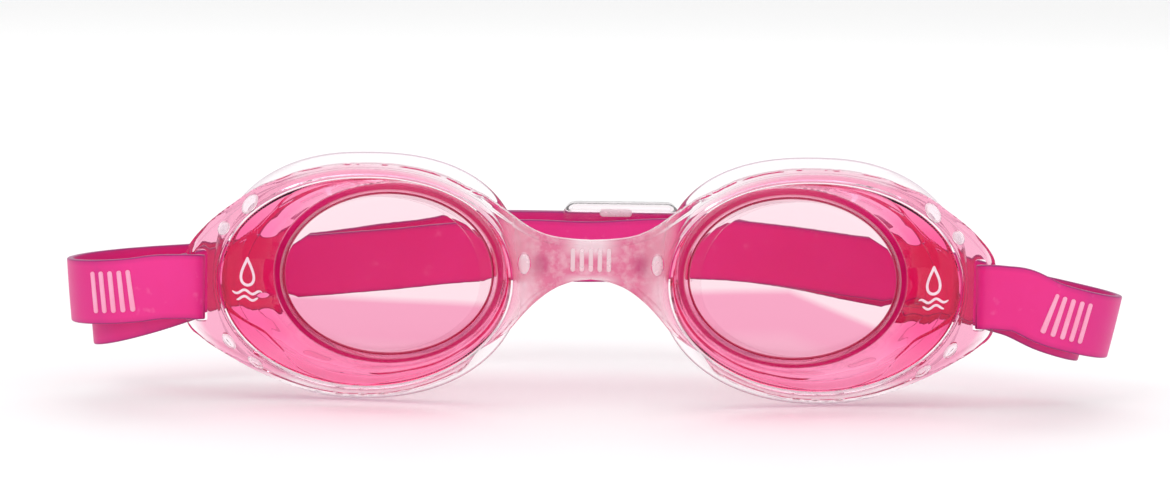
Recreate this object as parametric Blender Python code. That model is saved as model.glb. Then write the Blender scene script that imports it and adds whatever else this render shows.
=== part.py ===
"""Children's swim goggles: clear front frame with nose bridge and slotted arms, two tinted
lens cups, two soft face gaskets with their locking pegs, and a double silicone strap with a
sliding clip at the back.

Frame: +X to the right of somebody facing the goggles, +Y from the lenses towards the head,
+Z up.  The origin lies on the nose bridge's flat front, midway between the eyes.  Lengths
are in millimetres and become metres when a mesh is made.  Paired pieces are drawn on the
right, at +X, and mirrored for the left.
"""

import math
from typing import NamedTuple

import bmesh
import bpy
import numpy as np
from mathutils import Vector

MM = 0.001
GAP = 0.3                      # clearance between pieces that touch
SIDES = (("right", False), ("left", True))    # side, mirrored

for old in list(bpy.data.objects):
    bpy.data.objects.remove(old, do_unlink=True)


# ---------------------------------------------------------------- meshes and objects
def ring(flat, y):
    """Place (x, z) points at depth y, which is one number or one per point."""
    return np.stack([flat[:, 0], np.full(len(flat), y), flat[:, 1]], axis=1)


def ring_body(rings, hollow=False):
    """Skin closed rings of equal count; hollow joins the last ring to the first."""
    bm = bmesh.new()
    rows = [[bm.verts.new(point) for point in points] for points in rings]
    count = len(rows[0])
    pairs = list(zip(rows, rows[1:]))
    if hollow:
        pairs.append((rows[-1], rows[0]))
    for near, far in pairs:
        for i in range(count):
            j = (i + 1) % count
            bm.faces.new((near[i], near[j], far[j], far[i]))
    if not hollow:
        bm.faces.new(rows[0][::-1])
        bm.faces.new(rows[-1])
    return bm


def box_body(x0, x1, y0, y1, z0, z1):
    return ring_body([np.array([(x, y0, z0), (x, y1, z0), (x, y1, z1), (x, y0, z1)])
                      for x in (x0, x1)])


def prism_body(flat, y0, y1):
    return ring_body([ring(flat, y0), ring(flat, y1)])


def section(x, y0, y1, z0, z1, chamfer):
    """Chamfered rectangle across x."""
    c = chamfer
    return np.array([(x, y0, z0 + c), (x, y0 + c, z0), (x, y1 - c, z0), (x, y1, z0 + c),
                     (x, y1, z1 - c), (x, y1 - c, z1), (x, y0 + c, z1), (x, y0, z1 - c)])


def add_object(name, bm, material=None, mirror=False, origin=(0, 0, 0)):
    if mirror:
        for vert in bm.verts:
            vert.co.x = -vert.co.x
    centre = Vector(origin)
    for vert in bm.verts:
        vert.co = (vert.co - centre) * MM
    bmesh.ops.recalc_face_normals(bm, faces=bm.faces)
    mesh = bpy.data.meshes.new(name)
    bm.to_mesh(mesh)
    bm.free()
    mesh.shade_smooth()
    mesh.set_sharp_from_angle(angle=math.radians(35))
    if material:
        mesh.materials.append(material)
    obj = bpy.data.objects.new(name, mesh)
    obj.location = centre * MM
    bpy.context.scene.collection.objects.link(obj)
    return obj


def add_helper(name, bm, mirror=False):
    """An object that only feeds a boolean."""
    obj = add_object(name, bm, mirror=mirror)
    obj.hide_render = True
    obj.display_type = "WIRE"
    return obj


def boolean(obj, other, operation):
    mod = obj.modifiers.new(f"{operation.lower()}_{other.name}", "BOOLEAN")
    mod.operation = operation
    mod.solver = "EXACT"
    mod.object = other


# ---------------------------------------------------------------- materials
def make_material(name, colour, roughness, transmission, ior):
    mat = bpy.data.materials.new(name)
    mat.use_nodes = True
    inputs = mat.node_tree.nodes["Principled BSDF"].inputs
    inputs["Base Color"].default_value = (*colour, 1.0)
    inputs["Roughness"].default_value = roughness
    inputs["Transmission Weight"].default_value = transmission
    inputs["IOR"].default_value = ior
    mat.diffuse_color = (*colour, 1.0)
    return mat


CLEAR = make_material("clear_frame", colour=(0.96, 0.86, 0.89), roughness=0.12,
                      transmission=0.9, ior=1.5)
SOFT_CLEAR = make_material("clear_gasket", colour=(0.97, 0.90, 0.92), roughness=0.25,
                           transmission=0.8, ior=1.42)
PINK_LENS = make_material("pink_lens", colour=(0.93, 0.28, 0.50), roughness=0.05,
                          transmission=0.9, ior=1.58)
SILICONE = make_material("pink_silicone", colour=(0.82, 0.04, 0.25), roughness=0.45,
                         transmission=0.0, ior=1.45)
CLIP_CLEAR = make_material("clear_clip", colour=(0.97, 0.85, 0.90), roughness=0.15,
                           transmission=0.7, ior=1.5)


# ---------------------------------------------------------------- eye ovals
class Oval(NamedTuple):
    """Superellipse in x and z: centre, half widths, half heights, squareness and tilt."""
    x: float
    z: float
    inner: float               # half width towards the nose
    outer: float
    upper: float
    lower: float
    power: tuple               # upper nose corner, upper outer corner, lower half
    tilt: float                # degrees; below zero the nose end sits higher


WINDOW = Oval(36.7, -1.4, 20.5, 20.5, 16.1, 16.1, (2.0, 2.0, 2.0), -4.0)
FLANGE = Oval(41.7, -3.9, 27.1, 26.9, 19.0, 19.6, (2.15, 2.05, 2.0), -2.0)
RIM = Oval(42.6, -3.7, 29.0, 29.0, 21.5, 21.5, (2.35, 2.08, 2.08), -2.4)
GASKET_FRONT = Oval(42.8, -3.9, 28.8, 26.6, 21.2, 21.2, (2.35, 2.08, 2.08), -2.4)
GASKET_WIDE = Oval(43.0, -3.8, 30.2, 27.2, 22.8, 22.9, (2.5, 2.15, 2.15), -2.2)
GASKET_LIP = Oval(42.4, -3.8, 22.0, 20.2, 15.8, 16.0, (2.1, 2.1, 2.1), -2.2)

EYE_POINTS = 44
OPENING_GAP = 0.35             # the frame's opening round the lens flange


def turned(x, z, along, across, degrees):
    """Turn (along, across) offsets in the x-z plane and place them at (x, z)."""
    angle = math.radians(degrees)
    return np.stack([x + along * math.cos(angle) - across * math.sin(angle),
                     z + along * math.sin(angle) + across * math.cos(angle)], axis=1)


def oval(shape, grow=0.0):
    t = np.arange(EYE_POINTS) * 2 * math.pi / EYE_POINTS
    cos, sin = np.cos(t), np.sin(t)
    upper_nose, upper_outer, lower = shape.power
    power = np.where(sin < 0, lower, np.where(cos < 0, upper_nose, upper_outer))
    half_width = np.where(cos > 0, shape.outer, shape.inner) + grow
    half_height = np.where(sin > 0, shape.upper, shape.lower) + grow
    along = np.sign(cos) * np.abs(cos) ** (2 / power) * half_width
    across = np.sign(sin) * np.abs(sin) ** (2 / power) * half_height
    return turned(shape.x, shape.z, along, across, shape.tilt)


# ---------------------------------------------------------------- guiding surfaces
class Sweep(NamedTuple):
    """Depth that starts at y and runs back towards the temples."""
    y: float
    depth: float               # further back at start_x + run
    start_x: float
    run: float
    power: float


BROW = Sweep(y=1.0, depth=5.5, start_x=14.6, run=54.0, power=1.5)
FACE = Sweep(y=9.5, depth=10.5, start_x=13.0, run=58.0, power=1.6)
EYE_Z = -4.0                   # the surfaces curve back above and below this height
FLANGE_BOW, FLANGE_BOW_H = 0.9, 20.0      # how far back, and how far above or below EYE_Z
FACE_BOW, FACE_BOW_H = 2.0, 22.0
WINDOW_Y = -6.0                # window plane at the centre of the window
WINDOW_WRAP = math.radians(8)  # the window's outer side sits further back


def sweep_y(sweep, x):
    from_start = np.clip(x - sweep.start_x, 0, None)
    return sweep.y + sweep.depth * (from_start / sweep.run) ** sweep.power


def window_y(x):
    return WINDOW_Y + math.tan(WINDOW_WRAP) * (x - WINDOW.x)


def flange_y(x, z):
    return sweep_y(BROW, x) + FLANGE_BOW * ((z - EYE_Z) / FLANGE_BOW_H) ** 2


def face_y(x, z):
    """Where the gasket meets the face."""
    return sweep_y(FACE, x) + FACE_BOW * ((z - EYE_Z) / FACE_BOW_H) ** 2


def on_window(flat, offset):
    return ring(flat, window_y(flat[:, 0]) + offset)


def on_flange(flat, offset):
    return ring(flat, flange_y(flat[:, 0], flat[:, 1]) + offset)


def on_face(flat, offset):
    return ring(flat, face_y(flat[:, 0], flat[:, 1]) + offset)


# ---------------------------------------------------------------- lens cups
LENS_T = 1.8
LENS_WALL = 1.2
FLANGE_T = 1.4
WINDOW_BEVEL, WINDOW_BEVEL_Y = 0.9, 0.7
WINDOW_BACK_INSET = 1.35

# stations from window to flange: share of the way in outline, share of the way in depth
OUTSIDE_WALL = ((0.22, 0.38), (0.45, 0.70), (0.68, 0.92))
INSIDE_WALL = ((0.66, 0.92), (0.43, 0.72), (0.20, 0.40))
CUP_MIDDLE = np.array([WINDOW.x + 3, WINDOW.z - 1])    # the inside wall shrinks towards it


def cup_wall(outline_share, depth_share):
    """Outline and depths between the window and the flange."""
    flat = (1 - outline_share) * oval(WINDOW) + outline_share * oval(FLANGE)
    y = ((1 - depth_share) * window_y(flat[:, 0])
         + depth_share * flange_y(flat[:, 0], flat[:, 1]))
    return flat, y


def inward(flat, distance):
    arms = flat - CUP_MIDDLE
    return flat - arms / np.linalg.norm(arms, axis=1)[:, None] * distance


def lens_body():
    rings = [on_window(oval(WINDOW, grow=-WINDOW_BEVEL), 0.0),
             on_window(oval(WINDOW), WINDOW_BEVEL_Y)]
    for shares in OUTSIDE_WALL:
        rings.append(ring(*cup_wall(*shares)))
    rings.append(on_flange(oval(FLANGE), 0.0))
    rings.append(on_flange(oval(FLANGE), FLANGE_T))
    for shares in INSIDE_WALL:
        flat, y = cup_wall(*shares)
        rings.append(ring(inward(flat, LENS_WALL), y + LENS_WALL))
    rings.append(on_window(oval(WINDOW, grow=-WINDOW_BACK_INSET), LENS_T))
    return ring_body(rings)


# ---------------------------------------------------------------- gaskets
RIM_BACK = 2.0                 # the rim's back, behind the flange's front
GASKET_START = RIM_BACK + GAP
GASKET_BASE_T = 1.3


def gasket_body():
    """From the front's inner edge over the outside, round the lip and back inside."""
    front_inner = oval(FLANGE, grow=-2.6)
    wide = oval(GASKET_WIDE)
    wide_inner = oval(GASKET_WIDE, grow=-1.9)
    lip = oval(GASKET_LIP)
    return ring_body([
        on_flange(front_inner, GASKET_START),
        on_flange(oval(GASKET_FRONT), GASKET_START),
        0.5 * (on_flange(wide, GASKET_START) + on_face(wide, -1.0)),
        on_face(oval(GASKET_WIDE, grow=-0.6), -0.4),
        on_face(oval(GASKET_WIDE, grow=-2.2), 0.4),
        on_face(lip, -0.6),
        on_face(lip, -1.6),
        on_face(oval(GASKET_WIDE, grow=-3.4), -1.6),
        0.5 * (on_flange(wide_inner, GASKET_START) + on_face(wide_inner, -1.8)),
        on_flange(front_inner, GASKET_START + GASKET_BASE_T),
    ], hollow=True)


# ---------------------------------------------------------------- front frame
PLATE_CHAMFER = 0.5
BRIDGE_T = 2.6
ARM_FRONT, ARM_BACK = -0.5, 1.9           # from the brow's sweep
BAR_X0, BAR_X1 = 73.3, 75.0               # the bar that the strap wraps
BAR_Y0, BAR_Y1 = 7.2, 8.8
BAR_BLEND = 1.0                # the arm takes the bar's depth this far inside the bar
SLOT_X0 = 70.9
SLOT_H = 13.4
AXIS_Y = (BAR_Y0 + BAR_Y1) / 2            # line through both bars
AXIS_Z = -5.6

# half the bridge: x, top, depth below z = 0, front y
BRIDGE_ROWS = [
    (0.0, 4.5, 2.6, 0.0), (4.0, 4.7, 3.2, 0.0), (7.0, 5.1, 4.5, 0.0),
    (9.8, 6.0, 6.7, 0.05), (12.4, 7.5, 9.3, 0.1), (14.4, 9.2, 12.0, 0.2),
    (17.6, 10.3, 13.6, 0.4),
]

# arm from the rim to the bar: x, top z, bottom z
ARM_ROWS = [
    (58.0, 14.6, -22.4), (61.5, 13.0, -21.0), (65.6, 10.3, -18.9), (70.3, 6.6, -16.3),
    (72.2, 4.5, -15.0), (73.7, 2.8, -13.9), (74.6, 1.5, -12.9), (BAR_X1, 0.4, -11.8),
]


def rim_body():
    inner = oval(FLANGE, grow=OPENING_GAP - 0.6)      # the opening trims this edge
    outer = oval(RIM)
    bevel = oval(RIM, grow=-0.7)
    return ring_body([on_flange(inner, -1.0), on_flange(bevel, -1.4),
                      on_flange(outer, -0.7), on_flange(outer, 1.4),
                      on_flange(bevel, RIM_BACK), on_flange(inner, RIM_BACK)], hollow=True)


def bridge_body():
    """Hourglass plate between the eyes; its middle is flat in front."""
    mirrored = [(-x, *rest) for x, *rest in BRIDGE_ROWS[:0:-1]]
    return ring_body([section(x, front, BRIDGE_T, -below, top, PLATE_CHAMFER)
                      for x, top, below, front in mirrored + BRIDGE_ROWS])


def arm_depth(x):
    """Front and back of the arm at x."""
    if x > BAR_X0 - BAR_BLEND:
        return BAR_Y0, BAR_Y1
    brow = sweep_y(BROW, x)
    return brow + ARM_FRONT, min(brow + ARM_BACK, BAR_Y1)


def arm_body():
    return ring_body([section(x, *arm_depth(x), bottom, top, PLATE_CHAMFER)
                      for x, top, bottom in ARM_ROWS])


def slot_body():
    return box_body(SLOT_X0, BAR_X0, 0, 16, AXIS_Z - SLOT_H / 2, AXIS_Z + SLOT_H / 2)


# ---------------------------------------------------------------- pegs
PEG_POINTS = 16

# x, z, half length, half width, angle of the long side in degrees
PEGS = {
    "upper_big": (62.9, 9.95, 2.0, 1.0, 125.0),
    "upper_small": (67.8, 5.3, 1.3, 0.9, 125.0),
    "lower_small": (66.8, -15.8, 1.6, 0.8, 50.0),
    "lower_big": (61.8, -19.6, 1.6, 0.6, 36.0),
    "nose": (12.2, 0.1, 1.9, 1.1, 90.0),
}
NOSE_PEG_DEPTH = (0.1, BRIDGE_T)


def peg_oval(label, grow):
    x, z, half_length, half_width, angle = PEGS[label]
    t = np.arange(PEG_POINTS) * 2 * math.pi / PEG_POINTS
    return turned(x, z, (half_length + grow) * np.cos(t), (half_width + grow) * np.sin(t),
                  angle)


def peg_body(label):
    """A soft domed peg in an oval hole of the frame."""
    front, back = NOSE_PEG_DEPTH if label == "nose" else arm_depth(PEGS[label][0])
    rows = [(-0.55, front - 0.35), (-0.15, front - 0.05), (0.0, front + 0.4),
            (0.0, back - 0.1), (-0.2, back + 0.05)]       # grow, y
    return ring_body([ring(peg_oval(label, grow), y) for grow, y in rows])


# ---------------------------------------------------------------- strap ribbons
STRAP_W, STRAP_T = 12.0, 1.2
STRAP_CHAMFER = 0.3
FOLD_X0, FOLD_X1 = 80.2, 91.0  # the strap tips over between these towards its folds
END_LENGTH = 6.0               # over this length the strap's ends turn upright
SPAN_SAMPLES = 24              # spline samples between two points, before resampling
LOOP_STEP, BAND_STEP = 1.2, 3.4


class StrapSide(NamedTuple):
    """How one side hangs; heights are from the slots' line."""
    front_slope: float         # of the legs beside the bar, outward
    rear_slope: float
    outer_drop: float          # at the folds
    inner_drop: float
    outer_reach: float         # stretch of the folds beyond REACH_X
    inner_reach: float
    lean: float                # how far the top tips outward at the folds
    inner_rise: tuple          # inner band at the INNER_RUN stations


STRAP = {
    "right": StrapSide(front_slope=-0.10, rear_slope=-0.30, outer_drop=-6.9,
                       inner_drop=-7.6, outer_reach=1.0, inner_reach=1.03, lean=0.22,
                       inner_rise=(-5.0, -2.0, 0.6, 1.5, 2.4, 2.9, 2.6)),
    "left": StrapSide(front_slope=-0.03, rear_slope=-0.36, outer_drop=-2.4,
                      inner_drop=-6.8, outer_reach=0.94, inner_reach=1.10, lean=0.07,
                      inner_rise=(-4.2, -1.9, 0.0, 0.5, 0.9, 1.7, 2.1)),
}


def blend(start, end, t_start, t_end, t):
    return (t_end - t) / (t_end - t_start) * start + (t - t_start) / (t_end - t_start) * end


def run_lengths(path):
    """Distance along the path at each of its points."""
    return np.concatenate([[0], np.cumsum(np.linalg.norm(np.diff(path, axis=0), axis=1))])


def unit(vectors):
    return vectors / np.linalg.norm(vectors, axis=1)[:, None]


def spline(points, step):
    """Centripetal Catmull-Rom through the points, resampled about every step mm."""
    knots = np.array(points, float)
    knots = np.vstack([2 * knots[0] - knots[1], knots, 2 * knots[-1] - knots[-2]])
    dense = []
    for i in range(1, len(knots) - 2):
        a, b, c, d = knots[i - 1:i + 3]
        t0 = 0.0
        t1 = t0 + np.linalg.norm(b - a) ** 0.5
        t2 = t1 + np.linalg.norm(c - b) ** 0.5
        t3 = t2 + np.linalg.norm(d - c) ** 0.5
        for t in np.linspace(t1, t2, SPAN_SAMPLES, endpoint=False):
            ab = blend(a, b, t0, t1, t)
            bc = blend(b, c, t1, t2, t)
            cd = blend(c, d, t2, t3, t)
            abc = blend(ab, bc, t0, t2, t)
            bcd = blend(bc, cd, t1, t3, t)
            dense.append(blend(abc, bcd, t1, t2, t))
    dense.append(knots[-2])
    dense = np.array(dense)
    run = run_lengths(dense)
    wanted = np.linspace(0, run[-1], max(2, int(round(run[-1] / step)) + 1))
    return np.stack([np.interp(wanted, run, dense[:, k]) for k in range(3)], axis=1)


def ribbon_body(points, step):
    """A flat band that follows the points, standing upright; its top leans outward at the
    folds."""
    path = spline(points, step)
    along = unit(np.gradient(path, axis=0))
    fold = np.clip((np.abs(path[:, 0]) - FOLD_X0) / (FOLD_X1 - FOLD_X0), 0, 1)
    fold = fold * fold * (3 - 2 * fold)
    upright = np.zeros_like(path)
    upright[:, 0] = np.where(path[:, 0] > 0, STRAP["right"].lean, -STRAP["left"].lean) * fold
    upright[:, 2] = 1.0
    run = run_lengths(path)
    from_end = np.clip(np.minimum(run, run[-1] - run) / END_LENGTH, 0, 1)
    tip = (upright * along).sum(axis=1)[:, None] * along * from_end[:, None]
    up = unit(upright - tip)
    out = unit(np.cross(along, up))
    w, t, c = STRAP_W / 2, STRAP_T / 2, STRAP_CHAMFER
    corners = [(-t, -w + c), (-t + c, -w), (t - c, -w), (t, -w + c),
               (t, w - c), (t - c, w), (-t + c, w), (-t, w - c)]
    return ring_body([np.array([p + a * o + b * u for a, b in corners])
                      for p, o, u in zip(path, out, up)])


# ---------------------------------------------------------------- strap paths
WRAP_X = BAR_X0 + 1.1          # centre of the half turn round the bar
WRAP_R = 2.25                  # radius of the strap's centre line in that turn
WRAP_STEPS = 6
LOOP_END = 79.6                # where the wrapped part of the strap ends
LEG_RUN = LOOP_END - WRAP_X
LEG_NEAR = 2.0                 # first point of a leg, outward from WRAP_X
LEG_DRIFT = 0.03               # the legs' slope towards the head
REAR_START = -0.7              # rear leg's height at the turn, from the slots' line
FRONT_END_Y = AXIS_Y - WRAP_R + LEG_DRIFT * LEG_RUN
REAR_END_Y = AXIS_Y + WRAP_R + 0.1 + LEG_DRIFT * LEG_RUN
BAND_START = LOOP_END + 0.5    # the bands go on here, just beyond the loops
BAND_SHIFT_Y = 0.02
REACH_X = 85.0

# outer band round its fold: x, y, share of the drop, rise
OUTER_ROWS = [
    (85.0, 7.2, 0.45, 0.0), (91.0, 9.4, 0.72, 0.0), (96.2, 13.4, 0.92, 0.0),
    (98.4, 18.6, 1.0, 0.0), (96.4, 23.9, 0.97, 0.0), (91.2, 27.8, 0.85, 0.0),
    (84.0, 29.9, 0.66, 0.0), (74.0, 32.3, 0.45, 0.0), (62.0, 37.2, 0.22, 0.2),
    (50.0, 43.4, 0.08, 0.6), (40.0, 49.4, 0.0, 1.3), (32.0, 53.4, 0.0, 1.9),
]
# inner band round its fold: x, y, share of the drop
INNER_FOLD = [
    (85.0, 11.5, 0.64), (89.6, 13.4, 0.86), (92.3, 16.6, 0.98), (92.4, 20.2, 1.0),
    (89.6, 23.4, 0.93),
]
# inner band from behind the fold to near the middle: x, y
INNER_RUN = [
    (84.0, 25.2), (74.0, 27.6), (62.0, 32.4), (50.0, 38.2), (38.0, 44.2), (26.0, 48.8),
    (13.0, 51.0),
]
INNER_MIDDLE = (0.0, 51.5, AXIS_Z + 1.8)

BACK_Z = AXIS_Z + 3.2          # the outer band's height at the back
OUTER_Y = 56.0                 # the outer band's centre line at the back
TAIL_Y = OUTER_Y + STRAP_T + 0.4     # the strap's second end lies behind the first
TAIL_STEP = TAIL_Y - OUTER_Y

RIGHT_END = [
    (26.5, 55.6, BACK_Z - 0.5), (22.5, OUTER_Y - 0.05, BACK_Z), (17.0, OUTER_Y, BACK_Z),
    (4.0, OUTER_Y, BACK_Z), (-17.0, OUTER_Y, BACK_Z),
]
LEFT_END = [
    (-24.0, 55.7 + 0.4 * TAIL_STEP, BACK_Z), (-19.0, OUTER_Y + 0.85 * TAIL_STEP, BACK_Z),
    (-15.5, TAIL_Y, BACK_Z), (0.0, TAIL_Y, BACK_Z), (26.0, TAIL_Y, BACK_Z),
]


def loop_points(hang):
    """From the rear leg, through the slot, round the bar's inner side, to the front leg."""
    rear_z = AXIS_Z + REAR_START
    points = [(LOOP_END, REAR_END_Y, rear_z + hang.rear_slope * LEG_RUN),
              (WRAP_X + LEG_NEAR, AXIS_Y + WRAP_R + 0.05,
               rear_z + hang.rear_slope * LEG_NEAR)]
    for k in range(WRAP_STEPS + 1):
        angle = math.radians(90 + 180 / WRAP_STEPS * k)
        points.append((WRAP_X + WRAP_R * math.cos(angle), AXIS_Y + WRAP_R * math.sin(angle),
                       AXIS_Z + (1 - k / WRAP_STEPS) * REAR_START))
    points += [(WRAP_X + LEG_NEAR, AXIS_Y - WRAP_R, AXIS_Z + hang.front_slope * LEG_NEAR),
               (LOOP_END, FRONT_END_Y, AXIS_Z + hang.front_slope * LEG_RUN)]
    return points


def placed(rows, stretch):
    """Stretch x beyond REACH_X and measure z from the slots' line."""
    return [(x if x < REACH_X else REACH_X + (x - REACH_X) * stretch, y, AXIS_Z + z)
            for x, y, z in rows]


def outer_points(hang):
    rows = [(BAND_START, FRONT_END_Y + BAND_SHIFT_Y, hang.front_slope * LEG_RUN)]
    rows += [(x, y, share * hang.outer_drop + rise) for x, y, share, rise in OUTER_ROWS]
    return placed(rows, hang.outer_reach)


def inner_points(hang):
    rows = [(BAND_START, REAR_END_Y + BAND_SHIFT_Y, REAR_START + hang.rear_slope * LEG_RUN)]
    rows += [(x, y, share * hang.inner_drop) for x, y, share in INNER_FOLD]
    rows += [(x, y, rise) for (x, y), rise in zip(INNER_RUN, hang.inner_rise)]
    return placed(rows, hang.inner_reach)


def flip(points):
    return [(-x, y, z) for x, y, z in points]


# ---------------------------------------------------------------- clip
CLIP_X = 6.0
CLIP_W, CLIP_H = 23.0, 15.8
CLIP_CHAMFER = 0.7
CLIP_ENDS = [(0.0, 1.6), (0.6, 0.6), (1.6, 0.0)]     # distance from the end, corner cut
CUT_DEPTH_SHARE = 0.3          # how much of the corner cut also thins the clip
STRAPS_IN = OUTER_Y - STRAP_T / 2         # faces of the two straps in the clip
STRAPS_OUT = TAIL_Y + STRAP_T / 2
CLIP_IN, CLIP_OUT = STRAPS_IN - 1.6, STRAPS_OUT + 1.7
CHANNEL_GAP_Y, CHANNEL_GAP_Z = 0.35, 0.4
CHANNEL_HALF_LENGTH = 20
CLIP_WINDOWS = ((-9.2, 0.5), (2.0, 9.2))  # x from and to, from the clip's middle
CLIP_WINDOW_HALF_H = 4.6


def clip_body():
    """Rounded plate across x."""
    half = CLIP_W / 2
    stations = [(inset - half, cut) for inset, cut in CLIP_ENDS]
    stations += [(half - inset, cut) for inset, cut in CLIP_ENDS[::-1]]
    return ring_body([section(CLIP_X + x,
                              CLIP_IN + CUT_DEPTH_SHARE * cut,
                              CLIP_OUT - CUT_DEPTH_SHARE * cut,
                              BACK_Z - CLIP_H / 2 + cut, BACK_Z + CLIP_H / 2 - cut,
                              CLIP_CHAMFER)
                      for x, cut in stations])


def channel_body():
    half_height = STRAP_W / 2 + CHANNEL_GAP_Z
    return box_body(CLIP_X - CHANNEL_HALF_LENGTH, CLIP_X + CHANNEL_HALF_LENGTH,
                    STRAPS_IN - CHANNEL_GAP_Y, STRAPS_OUT + CHANNEL_GAP_Y,
                    BACK_Z - half_height, BACK_Z + half_height)


# ---------------------------------------------------------------- assembly
def build_cups():
    for side, mirror in SIDES:
        add_object(f"lens_{side}", lens_body(), PINK_LENS, mirror)
        add_object(f"gasket_{side}", gasket_body(), SOFT_CLEAR, mirror)
        for label in PEGS:
            add_object(f"peg_{label}_{side}", peg_body(label), SOFT_CLEAR, mirror)


def build_frame():
    """The right rim carries the booleans that join and cut the other parts."""
    frame = add_object("front_frame", rim_body(), CLEAR)
    for name, body, mirror in (("arm_right", arm_body, False), ("rim_left", rim_body, True),
                               ("arm_left", arm_body, True), ("bridge", bridge_body, False)):
        boolean(frame, add_helper(name, body(), mirror), "UNION")
    for side, mirror in SIDES:
        opening = prism_body(oval(FLANGE, grow=OPENING_GAP), -12, 24)
        cutters = [(f"opening_{side}", opening), (f"slot_{side}", slot_body())]
        cutters += [(f"peg_hole_{label}_{side}", prism_body(peg_oval(label, GAP), -6, 18))
                    for label in PEGS]
        for name, body in cutters:
            boolean(frame, add_helper(name, body, mirror), "DIFFERENCE")


def build_strap():
    for side, mirror in SIDES:
        add_object(f"strap_loop_{side}", ribbon_body(loop_points(STRAP[side]), LOOP_STEP),
                   SILICONE, mirror)
    right, left = STRAP["right"], STRAP["left"]
    bands = {
        "inner_band": inner_points(right) + [INNER_MIDDLE] + flip(inner_points(left))[::-1],
        "outer_right": outer_points(right) + RIGHT_END,
        "outer_left": flip(outer_points(left)) + LEFT_END,
    }
    for name, points in bands.items():
        add_object(f"strap_{name}", ribbon_body(points, BAND_STEP), SILICONE,
                   origin=(0.0, AXIS_Y, AXIS_Z))


def build_clip():
    """The channel holds both straps; the windows open the wall towards the head."""
    clip = add_object("clip_body", clip_body(), CLIP_CLEAR,
                      origin=(CLIP_X, OUTER_Y + TAIL_STEP / 2, BACK_Z))
    boolean(clip, add_helper("clip_channel", channel_body()), "DIFFERENCE")
    for k, (x0, x1) in enumerate(CLIP_WINDOWS):
        window = box_body(CLIP_X + x0, CLIP_X + x1, CLIP_IN - 2, OUTER_Y,
                          BACK_Z - CLIP_WINDOW_HALF_H, BACK_Z + CLIP_WINDOW_HALF_H)
        boolean(clip, add_helper(f"clip_window_{k}", window), "DIFFERENCE")


build_cups()
build_frame()
build_strap()
build_clip()
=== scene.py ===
"""Swim goggles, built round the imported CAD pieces.

The goggles lie with their nose bridge at x = 0, +X towards the right piece of each pair, +Y
from the lens windows back towards the head, and +Z up.  Shapes are worked out in millimetres
and become metres when a mesh is made.  Materials, lights and the camera are in metres.
"""
import math
from collections import namedtuple

import bmesh
import bpy
import numpy as np
from mathutils import Matrix, Vector


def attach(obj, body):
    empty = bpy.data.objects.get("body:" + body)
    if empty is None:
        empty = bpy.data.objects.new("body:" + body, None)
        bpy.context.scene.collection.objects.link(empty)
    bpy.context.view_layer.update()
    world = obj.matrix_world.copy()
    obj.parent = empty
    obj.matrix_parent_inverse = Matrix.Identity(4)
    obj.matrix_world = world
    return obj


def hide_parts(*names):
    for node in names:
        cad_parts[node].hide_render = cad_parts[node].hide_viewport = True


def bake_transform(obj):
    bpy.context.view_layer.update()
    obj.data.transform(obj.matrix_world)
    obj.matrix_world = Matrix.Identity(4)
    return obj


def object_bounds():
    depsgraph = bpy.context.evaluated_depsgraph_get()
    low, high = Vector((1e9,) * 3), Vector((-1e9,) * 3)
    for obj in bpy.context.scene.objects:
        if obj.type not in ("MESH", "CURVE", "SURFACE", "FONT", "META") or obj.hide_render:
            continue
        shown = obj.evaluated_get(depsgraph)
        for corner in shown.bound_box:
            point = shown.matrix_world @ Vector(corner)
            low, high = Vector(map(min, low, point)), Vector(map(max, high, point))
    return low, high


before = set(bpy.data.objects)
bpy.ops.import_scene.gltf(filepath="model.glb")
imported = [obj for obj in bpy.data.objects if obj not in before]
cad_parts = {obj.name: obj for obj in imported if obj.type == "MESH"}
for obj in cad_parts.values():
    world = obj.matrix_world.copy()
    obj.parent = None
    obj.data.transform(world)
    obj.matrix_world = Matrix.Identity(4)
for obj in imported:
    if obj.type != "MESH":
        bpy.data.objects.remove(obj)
CAD_LO, CAD_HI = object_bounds()

MM = 0.001
SIDES = {"right": 1, "left": -1}

# Ovals in the XZ plane: centre, half widths towards the nose and the temple, half heights up
# and down, power of the curve (one, or upper inner, upper outer and lower), tilt in degrees.
Oval = namedtuple("Oval", "x z inner outer up down power tilt")
WINDOW = Oval(36.7, -1.4, 20.5, 20.5, 16.1, 16.1, 2.0, -4.0)
FLANGE = Oval(41.7, -3.9, 27.1, 26.9, 19.0, 19.6, (2.15, 2.05, 2.0), -2.0)
RIM = Oval(42.6, -3.7, 29.0, 29.0, 21.5, 21.5, (2.35, 2.08, 2.08), -2.4)
GASKET_FRONT = Oval(42.8, -3.9, 28.8, 26.6, 21.2, 21.2, (2.35, 2.08, 2.08), -2.4)
GASKET_WIDE = Oval(43.0, -3.8, 30.2, 27.2, 22.8, 22.9, (2.5, 2.15, 2.15), -2.2)
GASKET_LIP = Oval(42.4, -3.8, 22.0, 20.2, 15.8, 16.0, 2.1, -2.2)
OPENING_GAP = 0.35          # the frame's opening round the flange

# slot bar at each end of the frame, and the strap that wraps it
AXIS_Y, AXIS_Z = 8.0, -5.6
BAR_X, BAR_THICK = 73.3, 1.6
SLOT_X, SLOT_HEIGHT, SLOT_CORNER = 70.9, 13.4, 0.7
BAR_FRONT, BAR_BACK = AXIS_Y - BAR_THICK / 2, AXIS_Y + BAR_THICK / 2
STRAP_WIDTH, STRAP_THICK = 12.0, 1.2
STRAP_CORNER = 0.34
WRAP_X, WRAP_RADIUS = BAR_X + 1.1, 2.25

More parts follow.
